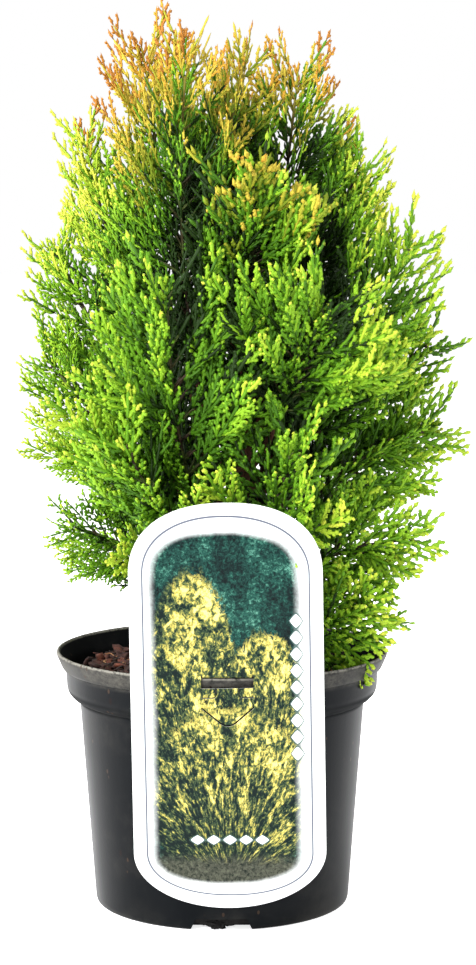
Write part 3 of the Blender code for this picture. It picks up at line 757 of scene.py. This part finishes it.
def label_material(name, plain_edges):
    """A glossy card with a soft-edged garden picture: golden domes before dark blue-green."""
    n = Nodes(name)
    x, y, z = n.axes
    across = (x - LABEL_CENTRE_X) + (z - SLOT_HIGH) * math.tan(LABEL_LEAN)
    high = z - (LABEL_LOW + LABEL_HIGH) / 2
    half_wide, half_high = LABEL_WIDTH / 2, (LABEL_HIGH - LABEL_LOW) / 2

    def inside_frame(side, head, tail, power, shift=0.0):
        """1 on a line that runs inside the card's edge, at the insets of its sides and its ends, and
        how far a place lies in an end of the card."""
        up = (high - (half_high - HEAD_RISE)).greater(1e-6) / (HEAD_RISE - head)
        down = (TAIL_RISE - half_high - high).greater(1e-6) / (TAIL_RISE - tail)
        ends = up.greater(down)
        wide = abs(across - shift) / (half_wide - side)
        return (wide**power + ends**power) ** (1 / power), ends

    frame_line, ends = inside_frame(5 * MM, 5 * MM, 5 * MM, 2.2)
    hairline = n.step(abs(frame_line - 1) * (1 - ends * 0.42), 0.014, 0.007)
    mottle = n.noise(700, detail=5, rough=0.8, distortion=0.5)
    patches = n.noise(85, n.stretch(1, 1, 0.65), detail=4, rough=0.6)
    soft_line, _ = inside_frame(7 * MM, 10.2 * MM, 8.8 * MM, 2.5, -0.7 * MM)
    picture = n.step(soft_line + ((patches - 0.5) * 0.1 + (mottle - 0.5) * 0.05), 1.05, 0.86)
    trees = ((0.4, (7, 13, 14)), (0.48, (14, 36, 34)), (0.56, (28, 72, 62)), (0.64, (92, 144, 126)))
    colour = n.ramp(mottle * 0.6 + patches * 0.4, *trees)

    def bush(colour, centre, foot, wide, tall):
        """Lays a round-headed bush over the picture. Its plumes spread from its foot."""
        a, b = across - centre * MM, high - foot * MM
        turn, reach = n.math("ARCTAN2", a, b), (a * a + b * b) ** 0.5

        def plumes(fine, long, rough):
            spot = {0: turn * fine, 1: reach * long, 2: float(centre)}
            spot = n.wire("ShaderNodeCombineXYZ", 0, spot)
            return n.noise(1, spot, detail=3, rough=rough, distortion=0.7) - 0.5

        strokes, clumps = plumes(34, 330, 0.75), plumes(9, 95, 0.6)
        side, level = a / (wide * MM), (b - tall * 0.5 * MM) / (tall * 0.5 * MM)
        away = (side * side + level * level) ** 0.5 + strokes * 0.5 + clumps * 0.3
        tone = strokes * 2 + 0.33 + clumps * 1.7 + (mottle - 0.5) * 1.1 + (side * 0.4 + level) * 0.2
        greens = ((0.12, (12, 24, 22)), (0.3, (40, 58, 42)), (0.45, (90, 98, 52)))
        golds = ((0.62, (170, 156, 74)), (0.86, (222, 210, 126)))
        return n.mix(n.step(away, 1.03, 0.97), colour, n.ramp(tone, *greens, *golds))

    for centre, foot, wide, tall in ((-13, -40, 17, 90), (14, -34, 16, 62), (0, -68, 31, 68)):
        colour = bush(colour, centre, foot, wide, tall)
    soil = n.ramp(mottle, (0.38, (16, 22, 20)), (0.66, (84, 86, 72)))
    colour = n.mix(n.step(high, -54 * MM, -60 * MM), colour, soil)
    colour = n.mix(picture, CARD_WHITE, colour)

    def lozenges(run, side, pitch, first, last, wide, tall):
        """A row of small leaf shapes along one axis, between two ends."""
        turns = n.math("FRACT", (run - first) / pitch, 0.0)
        kept = n.step(run, first, first + 0.01 * MM) * n.step(run, last, last - 0.01 * MM)
        return abs((turns - 0.5) * (pitch / tall)) + abs(side / wide) ** 1.4, kept

    for shape, kept in (
        lozenges(high, across - 25.6 * MM, 6.2 * MM, -20.5 * MM, 35.3 * MM, 2.6 * MM, 3 * MM),
        lozenges(across, high + 50 * MM, 6 * MM, -15 * MM, 15 * MM, 2 * MM, 2.9 * MM),
    ):
        colour = n.mix(n.step(shape, 1.15, 1.0) * kept * 0.85, colour, (62, 84, 80))
        colour = n.mix(n.step(shape, 0.86, 0.78) * kept, colour, (224, 228, 228))
    colour = n.mix(hairline, colour, (88, 92, 104))
    if plain_edges:
        edge = LIP_RADIUS + CLEARANCE + LABEL_THICK * 0.8
        colour = n.mix(n.step(y, -edge, -edge + 0.06 * MM), colour, CARD_WHITE)
    n.bump(n.noise(14, detail=2), 0.06, 1.5 * MM)
    return n.set(Base_Color=colour, Roughness=0.2 + n.noise(40, detail=3) * 0.12, Specular_IOR_Level=0.08)


def make_flap(front, back):
    """The flap that folds from the bar slot over the pot's lip."""
    lip_top = POT_HEIGHT + CLEARANCE
    start, end = back + 0.2 * MM, back + HOOK_REACH
    middle = [
        (front + LABEL_THICK * 0.5, SLOT_HIGH + 0.1 * MM),
        (start, lip_top + LABEL_THICK * 0.6),
        (start + 1.5 * MM, lip_top + LABEL_THICK / 2),
        (end - 1.2 * MM, lip_top + LABEL_THICK / 2),
        (end - LABEL_THICK / 2, lip_top - 0.9 * MM),
        (end - LABEL_THICK / 2, lip_top - HOOK_DROP),
    ]
    middle = rounded(middle, 1.2 * MM)
    points, quads = [], []
    half = SLOT_WIDTH / 2 - 0.5 * MM
    for index, (depth, height) in enumerate(middle):
        a, b = middle[max(index - 1, 0)], middle[min(index + 1, len(middle) - 1)]
        run = Vector((b[0] - a[0], b[1] - a[1])).normalized()
        off = Vector((-run.y, run.x)) * LABEL_THICK * 0.42
        for x in (-half, half):
            for side in (1, -1):
                points.append((LABEL_CENTRE_X + x, depth + off.x * side, height + off.y * side))
    last = (len(middle) - 1) * 4
    for a in range(0, last, 4):
        for one, two in ((0, 1), (1, 3), (3, 2), (2, 0)):
            quads.append((a + one, a + two, a + 4 + two, a + 4 + one))
    quads += [(0, 2, 3, 1), (last + 1, last + 3, last + 2, last)]
    mesh = mesh_from("label_flap", points, [quads])
    mesh.set_sharp_from_angle(angle=math.radians(40))
    stand_in(put_object(mesh, label_material("flap_print", False)), "label")


def make_label():
    back = -(LIP_RADIUS + CLEARANCE)
    front = back - LABEL_THICK
    head = rounded_end(LABEL_HIGH - HEAD_RISE, HEAD_RISE, HEAD_POWER, 56)
    tail = rounded_end(-(LABEL_LOW + TAIL_RISE), TAIL_RISE, TAIL_POWER, 48)
    outline = head + [(-across, -height) for across, height in tail]
    label = plate("label_card", outline, front, back)
    for shape in label_cuts():
        cut(label, plate("cutter", shape, front - 3 * MM, back + 3 * MM))
    apply_change(label, "BEVEL", width=0.14 * MM, segments=2, limit_method="ANGLE")
    label.data.materials.append(label_material("label_print", True))
    stand_in(label, "label")
    make_flap(front, back)


# Limbs


class Tubes:
    """Gathers tapering tubes into one mesh."""

    def __init__(self):
        self.points, self.quads, self.fans = [], [], []

    def add(self, line, radii, sides, relief=None, foot_faces=None):
        rings = []
        side = None
        for index, (point, radius) in enumerate(zip(line, radii)):
            ahead = line[min(index + 1, len(line) - 1)] - line[max(index - 1, 0)]
            if foot_faces and index == 0:
                ahead = foot_faces
            ahead = ahead.normalized()
            if side is None:
                side = ahead.cross(Vector((0.31, 0.95, 0.05))).normalized()
            side = (side - ahead * side.dot(ahead)).normalized()
            other = ahead.cross(side)
            rings.append(len(self.points))
            for corner in range(sides):
                angle = math.tau * corner / sides
                off = side * math.cos(angle) + other * math.sin(angle)
                wide = radius * relief(point, angle) if relief else radius
                self.points.append(point + off * wide)
        for low, high in zip(rings, rings[1:]):
            for corner in range(sides):
                after = (corner + 1) % sides
                self.quads.append((low + corner, low + after, high + after, high + corner))
        for start, end, order in ((rings[0], line[0], -1), (rings[-1], line[-1], 1)):
            centre = len(self.points)
            self.points.append(end)
            for corner in range(sides):
                a, b = start + corner, start + (corner + 1) % sides
                self.fans.append((centre, a, b) if order > 0 else (centre, b, a))

    def mesh(self, name):
        return mesh_from(name, self.points, [self.fans, self.quads])


def trunk_at(height):
    for (low, low_radius), (high, high_radius) in zip(TRUNK_LINE, TRUNK_LINE[1:]):
        if height <= high.z:
            share = (height - low.z) / (high.z - low.z)
            return low.lerp(high, share), low_radius + (high_radius - low_radius) * share
    return TRUNK_LINE[-1]


def bark_relief(point, angle):
    """How strips of bark that run up the limb change its radius."""
    place = Vector((math.cos(angle) * 2.2, math.sin(angle) * 2.2, point.z * 70))
    strip = noise.noise(place) * 0.5 + noise.noise(place * 2.7) * 0.28 + noise.noise(place * 6) * 0.14
    return 0.97 + strip * 0.2


def make_trunk(finish):
    low, high = TRUNK_LINE[0][0].z, TRUNK_LINE[-1][0].z
    shares = [(step / TRUNK_STEPS) ** 1.25 for step in range(TRUNK_STEPS + 1)]
    line, radii = zip(*(trunk_at(low + (high - low) * share) for share in shares))
    smooth = [(a + b * 2 + c) / 4 for a, b, c in zip(line, line[1:], line[2:])]

    def relief(point, angle):
        flare = max(0.0, 1 - (point.z - low) / (9 * MM))
        return bark_relief(point, angle) + flare * 0.1 * math.sin(angle * 5 + 1)

    tubes = Tubes()
    tubes.add([line[0], *smooth, line[-1]], radii, 28, relief, foot_faces=UP)
    stand_in(put_object(tubes.mesh("trunk_bark"), finish), "trunk")


def bough_radii(grown):
    thick = 1.3 * MM + 0.007 * (grown.tip - grown.foot).length
    return thick, thick * 0.72


def bough_curve(grown, steps=BOUGH_STEPS):
    centre, trunk_radius = trunk_at(grown.leaves)
    out = grown.foot - centre
    flat = Vector((out.x, out.y, 0)).normalized()
    start = centre + flat * (trunk_radius + CLEARANCE * 1.5)
    flat_run = Vector((grown.foot.x - start.x, grown.foot.y - start.y, 0)).length
    middle = start + (flat + UP * BOUGH_RISE) * flat_run * 0.6
    return [bezier(start, middle, grown.foot, step / steps) for step in range(steps + 1)]


def make_boughs(finish):
    for grown in MASSES:
        if grown.leaves is None:
            continue
        thick, thin = bough_radii(grown)
        steps = FINE_BOUGH_STEPS
        line = bough_curve(grown, steps)
        into = line[0] + (trunk_at(grown.leaves)[0] - line[0]) * 0.6
        radii = [thick + (thin - thick) * step / steps for step in range(steps + 1)]
        radii[0] *= 1.25
        tubes = Tubes()
        tubes.add([into] + line, [radii[0] * 1.1] + radii, 12, bark_relief)
        stand_in(put_object(tubes.mesh("bark_" + grown.name), finish), "bough_" + grown.name)


# Growth


def stem_curve(grown, steps=STEM_STEPS):
    limb = bough_curve(grown) if grown.leaves else [point for point, _ in TRUNK_LINE]
    heading = (limb[-1] - limb[-2]).normalized()
    start = grown.foot + heading * CLEARANCE * 1.2
    middle = start + heading * (grown.tip - start).length * 0.45
    return [bezier(start, middle, grown.tip, step / steps) for step in range(steps + 1)]


def along(line, share):
    place = min(share * (len(line) - 1), len(line) - 1.0001)
    index = int(place)
    point = line[index].lerp(line[index + 1], place - index)
    return point, (line[index + 1] - line[index]).normalized()


def fan_side(ahead, turn):
    heading = math.radians(turn)
    return ahead.cross(Vector((math.sin(heading), -math.cos(heading), 0))).normalized()


def spray_plan(grown, dice, count, line):
    """(share of the stem, heading, across, length) of side sprays, as the source's rule sets them."""
    plans = []
    for number in range(count):
        share = 0.04 + 0.88 * number / (count - 1)
        _, ahead = along(line, share)
        side = 1 if number % 2 else -1
        out = fan_side(ahead, grown.turn + dice.uniform(-1, 1) * grown.fullness) * side
        lean = math.radians(54 - 24 * share + dice.uniform(-6, 6))
        spray = ahead * math.cos(lean) + out * math.sin(lean)
        swell = min(1.0, 0.62 + 1.5 * share)
        taper = 1.0 - 0.62 * max(0.0, share - 0.25) / 0.75
        plans.append((share, spray, ahead, grown.width * swell * taper * dice.uniform(0.88, 1.08)))
    return plans


def sprays_between(grown):
    """How many side sprays a stem has between those of the solids."""
    more = 16 if grown.foot.z > 200 * MM else 4 if abs(grown.tip.x) > 55 * MM else 0
    if grown.tip.y > 30 * MM:
        more -= 6
    elif grown.name in ("heart_left", "front_right", "crown_right"):
        more += 8
    return BETWEEN + more


def outwardness(point):
    """0 in the plant's heart, 1 at its outside."""
    away = math.hypot(point.x - 5 * MM, (point.y - 2 * MM) * 1.15) / (88 * MM)
    above = max(0.0, point.z - 0.24) / 0.12
    return clamp((math.hypot(away, above) - 0.3) / 0.6)


def in_shaded_cleft(point, margin=0.0):
    """Whether a point lies in one of the clefts between the leader and its neighbours, whose shoots are
    painted dark as painted shade.
    """
    for x_low, z_low, x_high, z_high, half in SHADED_CLEFTS:
        share = (point.z - z_low) / (z_high - z_low)
        taper = math.sqrt(max(0.0, 1 - (2 * share - 1) ** 2))
        if abs(point.x - x_low - (x_high - x_low) * share) < half * taper + margin and 0 < share < 1:
            return point.y < 15 * MM
    return False


def in_gap(point):
    """Whether a point lies in the open notch in the crown's top."""
    middle, half, foot = GAP
    aside = abs(point.x - middle)
    return aside < half and point.z > foot + 1.2 * aside


def shaded(point):
    """How deep a point lies in the shade behind the leader: 1 in its middle, 0 outside."""
    x, z, wide, high = SHADE
    behind = clamp((point.y + 40 * MM) / (16 * MM)) if point.y < 20 * MM else 0.0
    return behind * max(0.0, 1 - ((point.x - x) / wide) ** 2 - ((point.z - z) / high) ** 2)


def ripeness(point, tipness):
    """How far a shoot has turned gold: most high up, in the upper front and left of the middle."""
    ripe = (point.z - 0.303) / 0.03 + 0.9 * (tipness - 0.35)
    if point.y < -24 * MM and point.z > 0.235:
        ripe += 1.0
    elif point.x < -25 * MM:
        ripe += 0.8
    ripe += 0.5 * max(0.0, 1 - abs(point.x - 5 * MM) / (14 * MM))
    return ripe - clamp((-point.x - 40 * MM) / (16 * MM), 1.5)


def leaf_colour(point, tipness, own, gold):
    """Which plain colour a shoot takes: deep green inside, partly the shoots' own colour and partly painted
    shade, fresher outwards, lighter on the left, the right and the front as painted light, and lime or, on
    sprays that have turned gold, straw and bronze at the tips."""
    place = outwardness(point)
    # Shoots towards the left, the right and the front are painted lighter, as painted light.
    front = (-point.y - 18 * MM) / (36 * MM)
    painted_light = clamp(max(-point.x / (85 * MM), (point.x - 20 * MM) / (140 * MM), front))
    ripe = clamp((point.z - 0.225) / 0.12)
    low = clamp((0.2 - point.z) / 0.04)
    # Shoots deep inside are darker, partly their own deeper green and partly painted shade.
    tone = -0.3 + 1.8 * place + 0.9 * painted_light + (3.4 - 0.8 * low) * max(0.0, tipness - 0.33) + own + 0.4 * low
    aside = clamp((abs(point.x - 2 * MM) - 38 * MM) / (14 * MM), 1.2)
    tone += aside * clamp((point.z - 0.235) / 0.03)
    if point.x > 30 * MM:
        tone += 0.5 * low
    tone += ripe * (1.4 * place if gold else 0.9 * place - 0.5)
    if gold:
        tone += 1.6 * clamp((point.z - 0.29) / 0.03) - 0.5
    if place > 0.25 and tipness > 0.84 - 0.3 * ripe:
        tone += 0.8 + (0.3 if gold else 1.0) * ripe
    looks = GOLDS if gold else GREENS
    return looks[min(len(looks) - 1, max(0, round(tone)))]


class Shoots:
    """Gathers flattened, beaded shoots. Each is a foot, a few rings of four points and a tip."""

    LONG = ((0.22, 1.0), (0.5, 0.78), (0.8, 0.92))
    SHORT = ((0.58, 1.1),)

    def __init__(self):
        self.rows = {"long": [], "short": []}

    def add(self, kind, foot, heading, bend, normal, length, width, look):
        self.rows[kind].append((*foot, *heading, *bend, *normal, length, width, look))

    def mesh(self, name):
        points, quads, fans, looks_q, looks_f = [], [], [], [], []
        base = 0
        for kind, rings in (("long", self.LONG), ("short", self.SHORT)):
            if not self.rows[kind]:
                continue
            rows = np.array(self.rows[kind])
            count = len(rows)
            foot, heading, bend, normal = rows[:, 0:3], rows[:, 3:6], rows[:, 6:9], rows[:, 9:12]
            length, width, look = rows[:, 12:13], rows[:, 13:14], rows[:, 14].astype(int)
            side = np.cross(normal, heading)
            side /= np.linalg.norm(side, axis=1, keepdims=True)
            flat = np.cross(heading, side)
            flat /= np.linalg.norm(flat, axis=1, keepdims=True)
            parts = [foot]
            for share, wide in rings:
                centre = foot + heading * length * share + bend * length * share**2
                for a, b in ((1, 0), (0, 1), (-1, 0), (0, -1)):
                    parts.append(centre + width / 2 * wide * (side * a + flat * SHOOT_FLATNESS * b))
            parts.append(foot + (heading + bend) * length)
            each = len(parts)
            points.append(np.stack(parts, axis=1).reshape(-1, 3))
            start = base + np.arange(count)[:, None] * each
            last = each - 5
            for corner in range(4):
                after = (corner + 1) % 4
                for low in range(1, last, 4):
                    high = low + 4
                    quads.append(start + np.array([low + corner, low + after, high + after, high + corner]))
                    looks_q.append(look)
                fans.append(start + np.array([0, 1 + after, 1 + corner]))
                fans.append(start + np.array([last + corner, last + after, each - 1]))
                looks_f += [look, look]
            base += count * each
        blocks = [np.concatenate(fans), np.concatenate(quads)]
        looks = np.concatenate(looks_f + looks_q)
        return mesh_from(name, np.concatenate(points), blocks, looks)


def turned(heading, normal, angle):
    return heading * math.cos(angle) + normal.cross(heading) * math.sin(angle)


class Growth:
    """One mass as it grows: its stem and the sprays on it."""

    def __init__(self, grown, seed):
        self.grown = grown
        self.dice = random.Random(seed)
        self.line = stem_curve(grown, FINE_STEM_STEPS)
        self.shoots, self.twigs = Shoots(), Tubes()
        self.leading = grown.leaves is None
        self.dimming = -0.5 if self.leading else 0.9  # tones of painted shade that the shade behind the leader takes off; negative on the leader, which is painted lighter there as painted light
        self.rise = 0.32 if grown.foot.z > 125 * MM else -0.06 if grown.foot.x < 0 else 0.08
        self.stout, self.coarse = self.build()

    def build(self):
        """How stout the shoots are and how far apart: finest low on the left, stoutest in the front."""
        foot, tip = self.grown.foot, self.grown.tip
        if self.leading:
            return 1.5, 1.15
        if tip.x < -60 * MM and tip.z < 220 * MM:
            return 0.85, 0.85
        if foot.y < -14 * MM:
            return 1.45, 1.12
        if foot.x > 0 and foot.z < 215 * MM:
            return 1.3, 1.1
        return 1.0, 1.0

    def spray(self, foot, heading, across, length, own, rise, coarse=1.0, stout=None):
        """One flat spray: an axis, branchlets on both sides, and short shoots on both sides of those.
        own: how many tones fresher it is. rise: how far it bends up."""
        dice, shoots = self.dice, self.shoots
        normal = heading.cross(across).normalized()
        normal = (normal + across * dice.gauss(0, 0.1)).normalized()
        bend = UP * rise + across * dice.gauss(0, 0.06)
        heading = (heading - bend * 0.6).normalized()
        length -= SPRAY_HEM
        width = SHOOT_WIDTH * (stout or self.stout) * coarse**0.5
        turning = dice.gauss(0, 0.35)

        def axis(share):
            return foot + heading * length * share + bend * length * share * share * 0.7

        def colour(point, tipness, lift=0.0):
            # Shoots in a cleft are painted 2.6 tones darker, as painted shade.
            tone = own + lift + dice.gauss(0, 0.32) - (2.6 if in_shaded_cleft(point, 1 * MM) else 0.0)
            # The shade behind the leader is painted: darker on other masses, and lighter on the leader as
            # painted light.
            tone += 0.35 * clamp((point.z - 0.26) / 0.02) - self.dimming * shaded(point)
            ripe = ripeness(point, tipness) + turning
            if self.leading:
                ripe += 0.2
                tone += 0.35
            return leaf_colour(point, tipness, tone, ripe > 0.5)

        steep = clamp((foot.z - 0.14) / 0.1)
        woody = 0.1 + 0.2 * (1 - outwardness(foot + heading * length * 0.4))
        steps = 3
        line = [axis(woody * step / steps) for step in range(steps + 1)]
        thick = 0.35 * MM + 0.008 * length
        self.twigs.add(line, [thick * (1 - 0.12 * step) for step in range(steps + 1)], 4)
        joints = max(2, int(length / AXIS_JOINT))
        for joint in range(joints):
            low, high = (woody * 0.7 + (1 - woody * 0.7) * (joint + end) / joints for end in (0, 1))
            run = axis(high) - axis(low)
            look = colour(axis(low), low * 0.5, -0.3)
            thick, reach = width * (1.05 - 0.2 * low), run.length + 1 * MM
            shoots.add("long", axis(low), run.normalized(), Vector(), normal, reach, thick, look)

        bare = woody * 0.5
        count = max(4, int(length * (1 - bare) / (BRANCHLET_STEP * coarse)))
        for number in range(count + 1):
            share = bare + (1 - bare) * number / count
            side = 1 if number % 2 else -1
            ahead = (heading + bend * 1.4 * share).normalized()
            swell = math.sin(math.pi * (0.2 + 0.72 * share)) ** 0.8
            reach = (1.8 * MM + 0.23 * length * swell) * dice.choice((0.55, 0.8, 1.0, 1.15, 1.4))
            if number == count:
                reach, side = TIP_BRANCHLET, dice.uniform(-0.2, 0.2)
            start = axis(min(share, 0.97))
            if (start.y < -14 * MM and in_shaded_cleft(start)) or in_gap(axis(share) + ahead * reach * 0.7):
                continue
            lean = BRANCHLET_LEAN * (1 - 0.25 * steep) * dice.uniform(0.7, 1.25) * side
            branch = (turned(ahead, normal, lean) + normal * dice.gauss(0, 0.24)).normalized()
            curl = (ahead - branch) * 0.2 + UP * (0.05 + 0.3 * steep)
            kind = "long" if reach > LONG_BRANCHLET else "short"
            outer = 0.35 + 0.65 * share
            look = colour(start + branch * reach, outer * 0.75)
            shoots.add(kind, start, branch, curl, normal, reach, width, look)
            shares = int(reach / (SHOOT_STEP * coarse))
            for piece in range(1, shares):
                place = (piece + dice.uniform(-0.15, 0.15)) / shares
                hand = 1 if (piece + number) % 2 else -1
                size = 1.4 * MM + 0.3 * max(0.0, reach - 3 * MM) * (1 - place) ** 0.8
                size *= dice.uniform(0.8, 1.25)
                spot = start + branch * reach * place + curl * reach * place * place
                on = (branch + curl * 2 * place).normalized()
                lean = SHOOT_LEAN * (1 - 0.2 * steep) * hand * dice.uniform(0.8, 1.25)
                shoot = (turned(on, normal, lean) + normal * dice.gauss(0, 0.18)).normalized()
                look = colour(spot, outer * (0.7 + 0.3 * place))
                kind = "long" if size > LONG_SHOOT else "short"
                shoots.add(kind, spot, shoot, (on - shoot) * 0.2, normal, size, width * 0.95, look)

    def stem(self):
        share = 0.45 if self.grown.name in COVERED else 0.7 if self.grown.foot.z > 140 * MM else 0.9
        thick = bough_radii(self.grown)[1] * share
        shares = [step / FINE_STEM_STEPS for step in range(STEM_WOOD)]
        radii = [thick - (thick - 0.5 * MM) * share**0.8 for share in shares]
        self.twigs.add(self.line[:STEM_WOOD], radii, 6)

    def collar_sprays(self):
        for step in range(COLLAR):
            root = Vector((10.5 * MM, -12 * MM, (196 + 44 * step / COLLAR) * MM))
            aside = (1 if step % 2 else -1) * self.dice.uniform(0.25, 0.8)
            heading = Vector((aside, -self.dice.uniform(0.4, 0.75), 0.85)).normalized()
            self.spray(root, heading, UP, COLLAR_LENGTH, 0.3, 0.25)

    def outside(self, tip):
        """Whether a spray's tip lies well past the solids' box or, on the leader, past its pointed head."""
        low = Vector(cad_box[0]) - Vector((2.5, 1, 1)) * MM
        high = Vector(cad_box[1]) + Vector((2, 1, 1)) * MM
        if any(tip[k] < low[k] or tip[k] > high[k] for k in range(3)):
            return True
        middle, top = LEADER_HEAD
        return self.leading and tip.z > top - 0.75 * max(0.0, abs(tip.x - middle) - 4 * MM)

    def side_sprays(self, plans):
        for share, heading, across, length in plans:
            root, _ = along(self.line, share)
            own = self.dice.gauss(0, 0.4)
            if abs(heading.x) > 0.4 and 165 * MM < root.z < 250 * MM:
                length *= 1.09
            while length > 8 * MM and self.outside(root + heading * length):
                length *= 0.94
            self.spray(root, heading, across, length, own, self.rise, self.coarse)

    def inner_sprays(self):
        bough = bough_curve(self.grown, 12)
        for step in range(INNER):
            point, ahead = along(bough, 0.4 + 0.55 * step / (INNER - 1))
            side = fan_side(ahead, self.dice.uniform(-75, 75))
            heading = (ahead + side * self.dice.uniform(-1.1, 1.1) + UP * 0.5).normalized()
            # These sprays are painted 1.1 tones darker, as painted shade in the plant's heart.
            self.spray(point, heading, side, INNER_LENGTH, -1.1, 0.1, 1.5)

    def backing_sprays(self):
        count = BACKING * (2 if self.grown.foot.z > 150 * MM else 1)
        for step in range(count):
            point, ahead = along(self.line, 0.65 * step / (count - 1))
            inward = Vector((TRUNK_AXIS[0] - point.x, TRUNK_AXIS[1] - point.y, 0)).normalized()
            side = ahead.cross(inward).normalized() * (1 if step % 2 else -1)
            heading = (ahead + inward * 0.5 + side * self.dice.uniform(0.2, 1.1)).normalized()
            # These sprays are painted 1.2 tones darker, as painted shade that fills the gaps behind the
            # stems.
            self.spray(point, heading, side, BACKING_LENGTH, -1.2, 0.1, 1.8, 1.0)

    def cover_sprays(self):
        count = COVER * (2 if self.grown.name in COVERED else 1)
        for step in range(count):
            point, ahead = along(self.line, 0.02 + 0.7 * step / (count - 1))
            out = Vector((point.x - TRUNK_AXIS[0], point.y - TRUNK_AXIS[1] - COVER_BACK, 0)).normalized()
            side = ahead.cross(out).normalized()
            heading = (ahead + out * 0.42 + side * self.dice.uniform(-0.45, 0.45)).normalized()
            self.spray(point, heading, side, COVER_LENGTH, 0.0, 0.1)

    def tip_spray(self):
        point, ahead = along(self.line, 0.72)
        length = (self.grown.tip - point).length - (5 * MM if self.leading else 0)
        self.spray(point, ahead, fan_side(ahead, self.grown.turn), length, 0.3, 0.0)


def make_foliage(leaves, twig_finish):
    dice = random.Random(SEED)
    plans = [spray_plan(grown, dice, LATERALS, stem_curve(grown)) for grown in MASSES]
    for index, (grown, plan) in enumerate(zip(MASSES, plans)):
        growth = Growth(grown, 100 + index)
        between = spray_plan(grown, growth.dice, sprays_between(grown), growth.line)
        growth.stem()
        if growth.leading:
            growth.collar_sprays()
        growth.side_sprays(plan + between)
        if not growth.leading:
            growth.inner_sprays()
        growth.backing_sprays()
        growth.cover_sprays()
        growth.tip_spray()
        node = "foliage_" + grown.name
        stand_in(put_object(growth.shoots.mesh("leaves_" + grown.name), *leaves), node)
        stand_in(put_object(growth.twigs.mesh("twigs_" + grown.name), twig_finish), node)


# Studio


def make_floor():
    n = Nodes("floor")
    paper = n.mix(n.noise(2, detail=2), (246, 246, 247), (250, 250, 250))
    n.set(Base_Color=paper, Roughness=0.9, Specular_IOR_Level=0.1)
    n.set(Emission_Color=(255, 255, 255), Emission_Strength=0.8)
    rim = [(8 * math.cos(turn), 8 * math.sin(turn), 0) for turn in (math.tau * k / 64 for k in range(64))]
    put_object(mesh_from("floor", rim, [[tuple(range(64))]]), n.material)


def make_surround():
    """A plain white surround, seen at full white and lighting at less."""
    world = bpy.data.worlds.new("studio")
    bpy.context.scene.world = world
    world.use_nodes = True
    tree = world.node_tree
    soft = tree.nodes["Background"]
    soft.inputs[1].default_value = 0.3
    white = tree.nodes.new("ShaderNodeBackground")
    for surround in (soft, white):
        surround.inputs[0].default_value = (1, 1, 1, 1)
    path, either = tree.nodes.new("ShaderNodeLightPath"), tree.nodes.new("ShaderNodeMixShader")
    tree.links.new(path.outputs["Is Camera Ray"], either.inputs[0])
    tree.links.new(soft.outputs[0], either.inputs[1])
    tree.links.new(white.outputs[0], either.inputs[2])
    tree.links.new(either.outputs[0], tree.nodes["World Output"].inputs[0])


def make_lamps():
    """Soft lamps, all turned to the middle of the plant."""
    for name, place, size, power in (
        ("left", (-1.3, -0.1, 0.75), (1.0, 1.2), 32),
        ("right", (1.3, 0.0, 0.8), (0.9, 1.2), 17),
        ("above", (-0.2, 0.1, 1.7), (1.2, 1.2), 14),
        ("front", (-0.8, -1.3, 1.1), (0.4, 0.4), 44),
    ):
        light = bpy.data.lights.new(name, "AREA")
        light.shape = "RECTANGLE"
        light.size, light.size_y = size
        light.energy = power
        made = put_object(light)
        made.location = place
        made.rotation_euler = (Vector((0, 0, 0.18)) - Vector(place)).to_track_quat("-Z", "Y").to_euler()


def make_camera():
    camera = bpy.data.cameras.new("camera")
    camera.lens = CAMERA_LENS
    camera.sensor_width = 36
    camera.clip_start = 0.05
    camera.clip_end = 30
    holder = put_object(camera)
    holder.location = CAMERA_AT
    holder.rotation_euler = (math.pi / 2 - CAMERA_PITCH, 0, 0)
    bpy.context.scene.camera = holder
    bpy.context.scene.view_settings.view_transform = "Standard"


def main():
    make_floor()
    make_surround()
    make_lamps()
    make_camera()
    make_pot()
    make_soil()
    make_label()
    bark = bark_material()
    make_trunk(bark)
    make_boughs(bark)
    make_foliage([leaf_material(name, colour) for name, colour in LEAF_COLOURS], twig_material())


main()
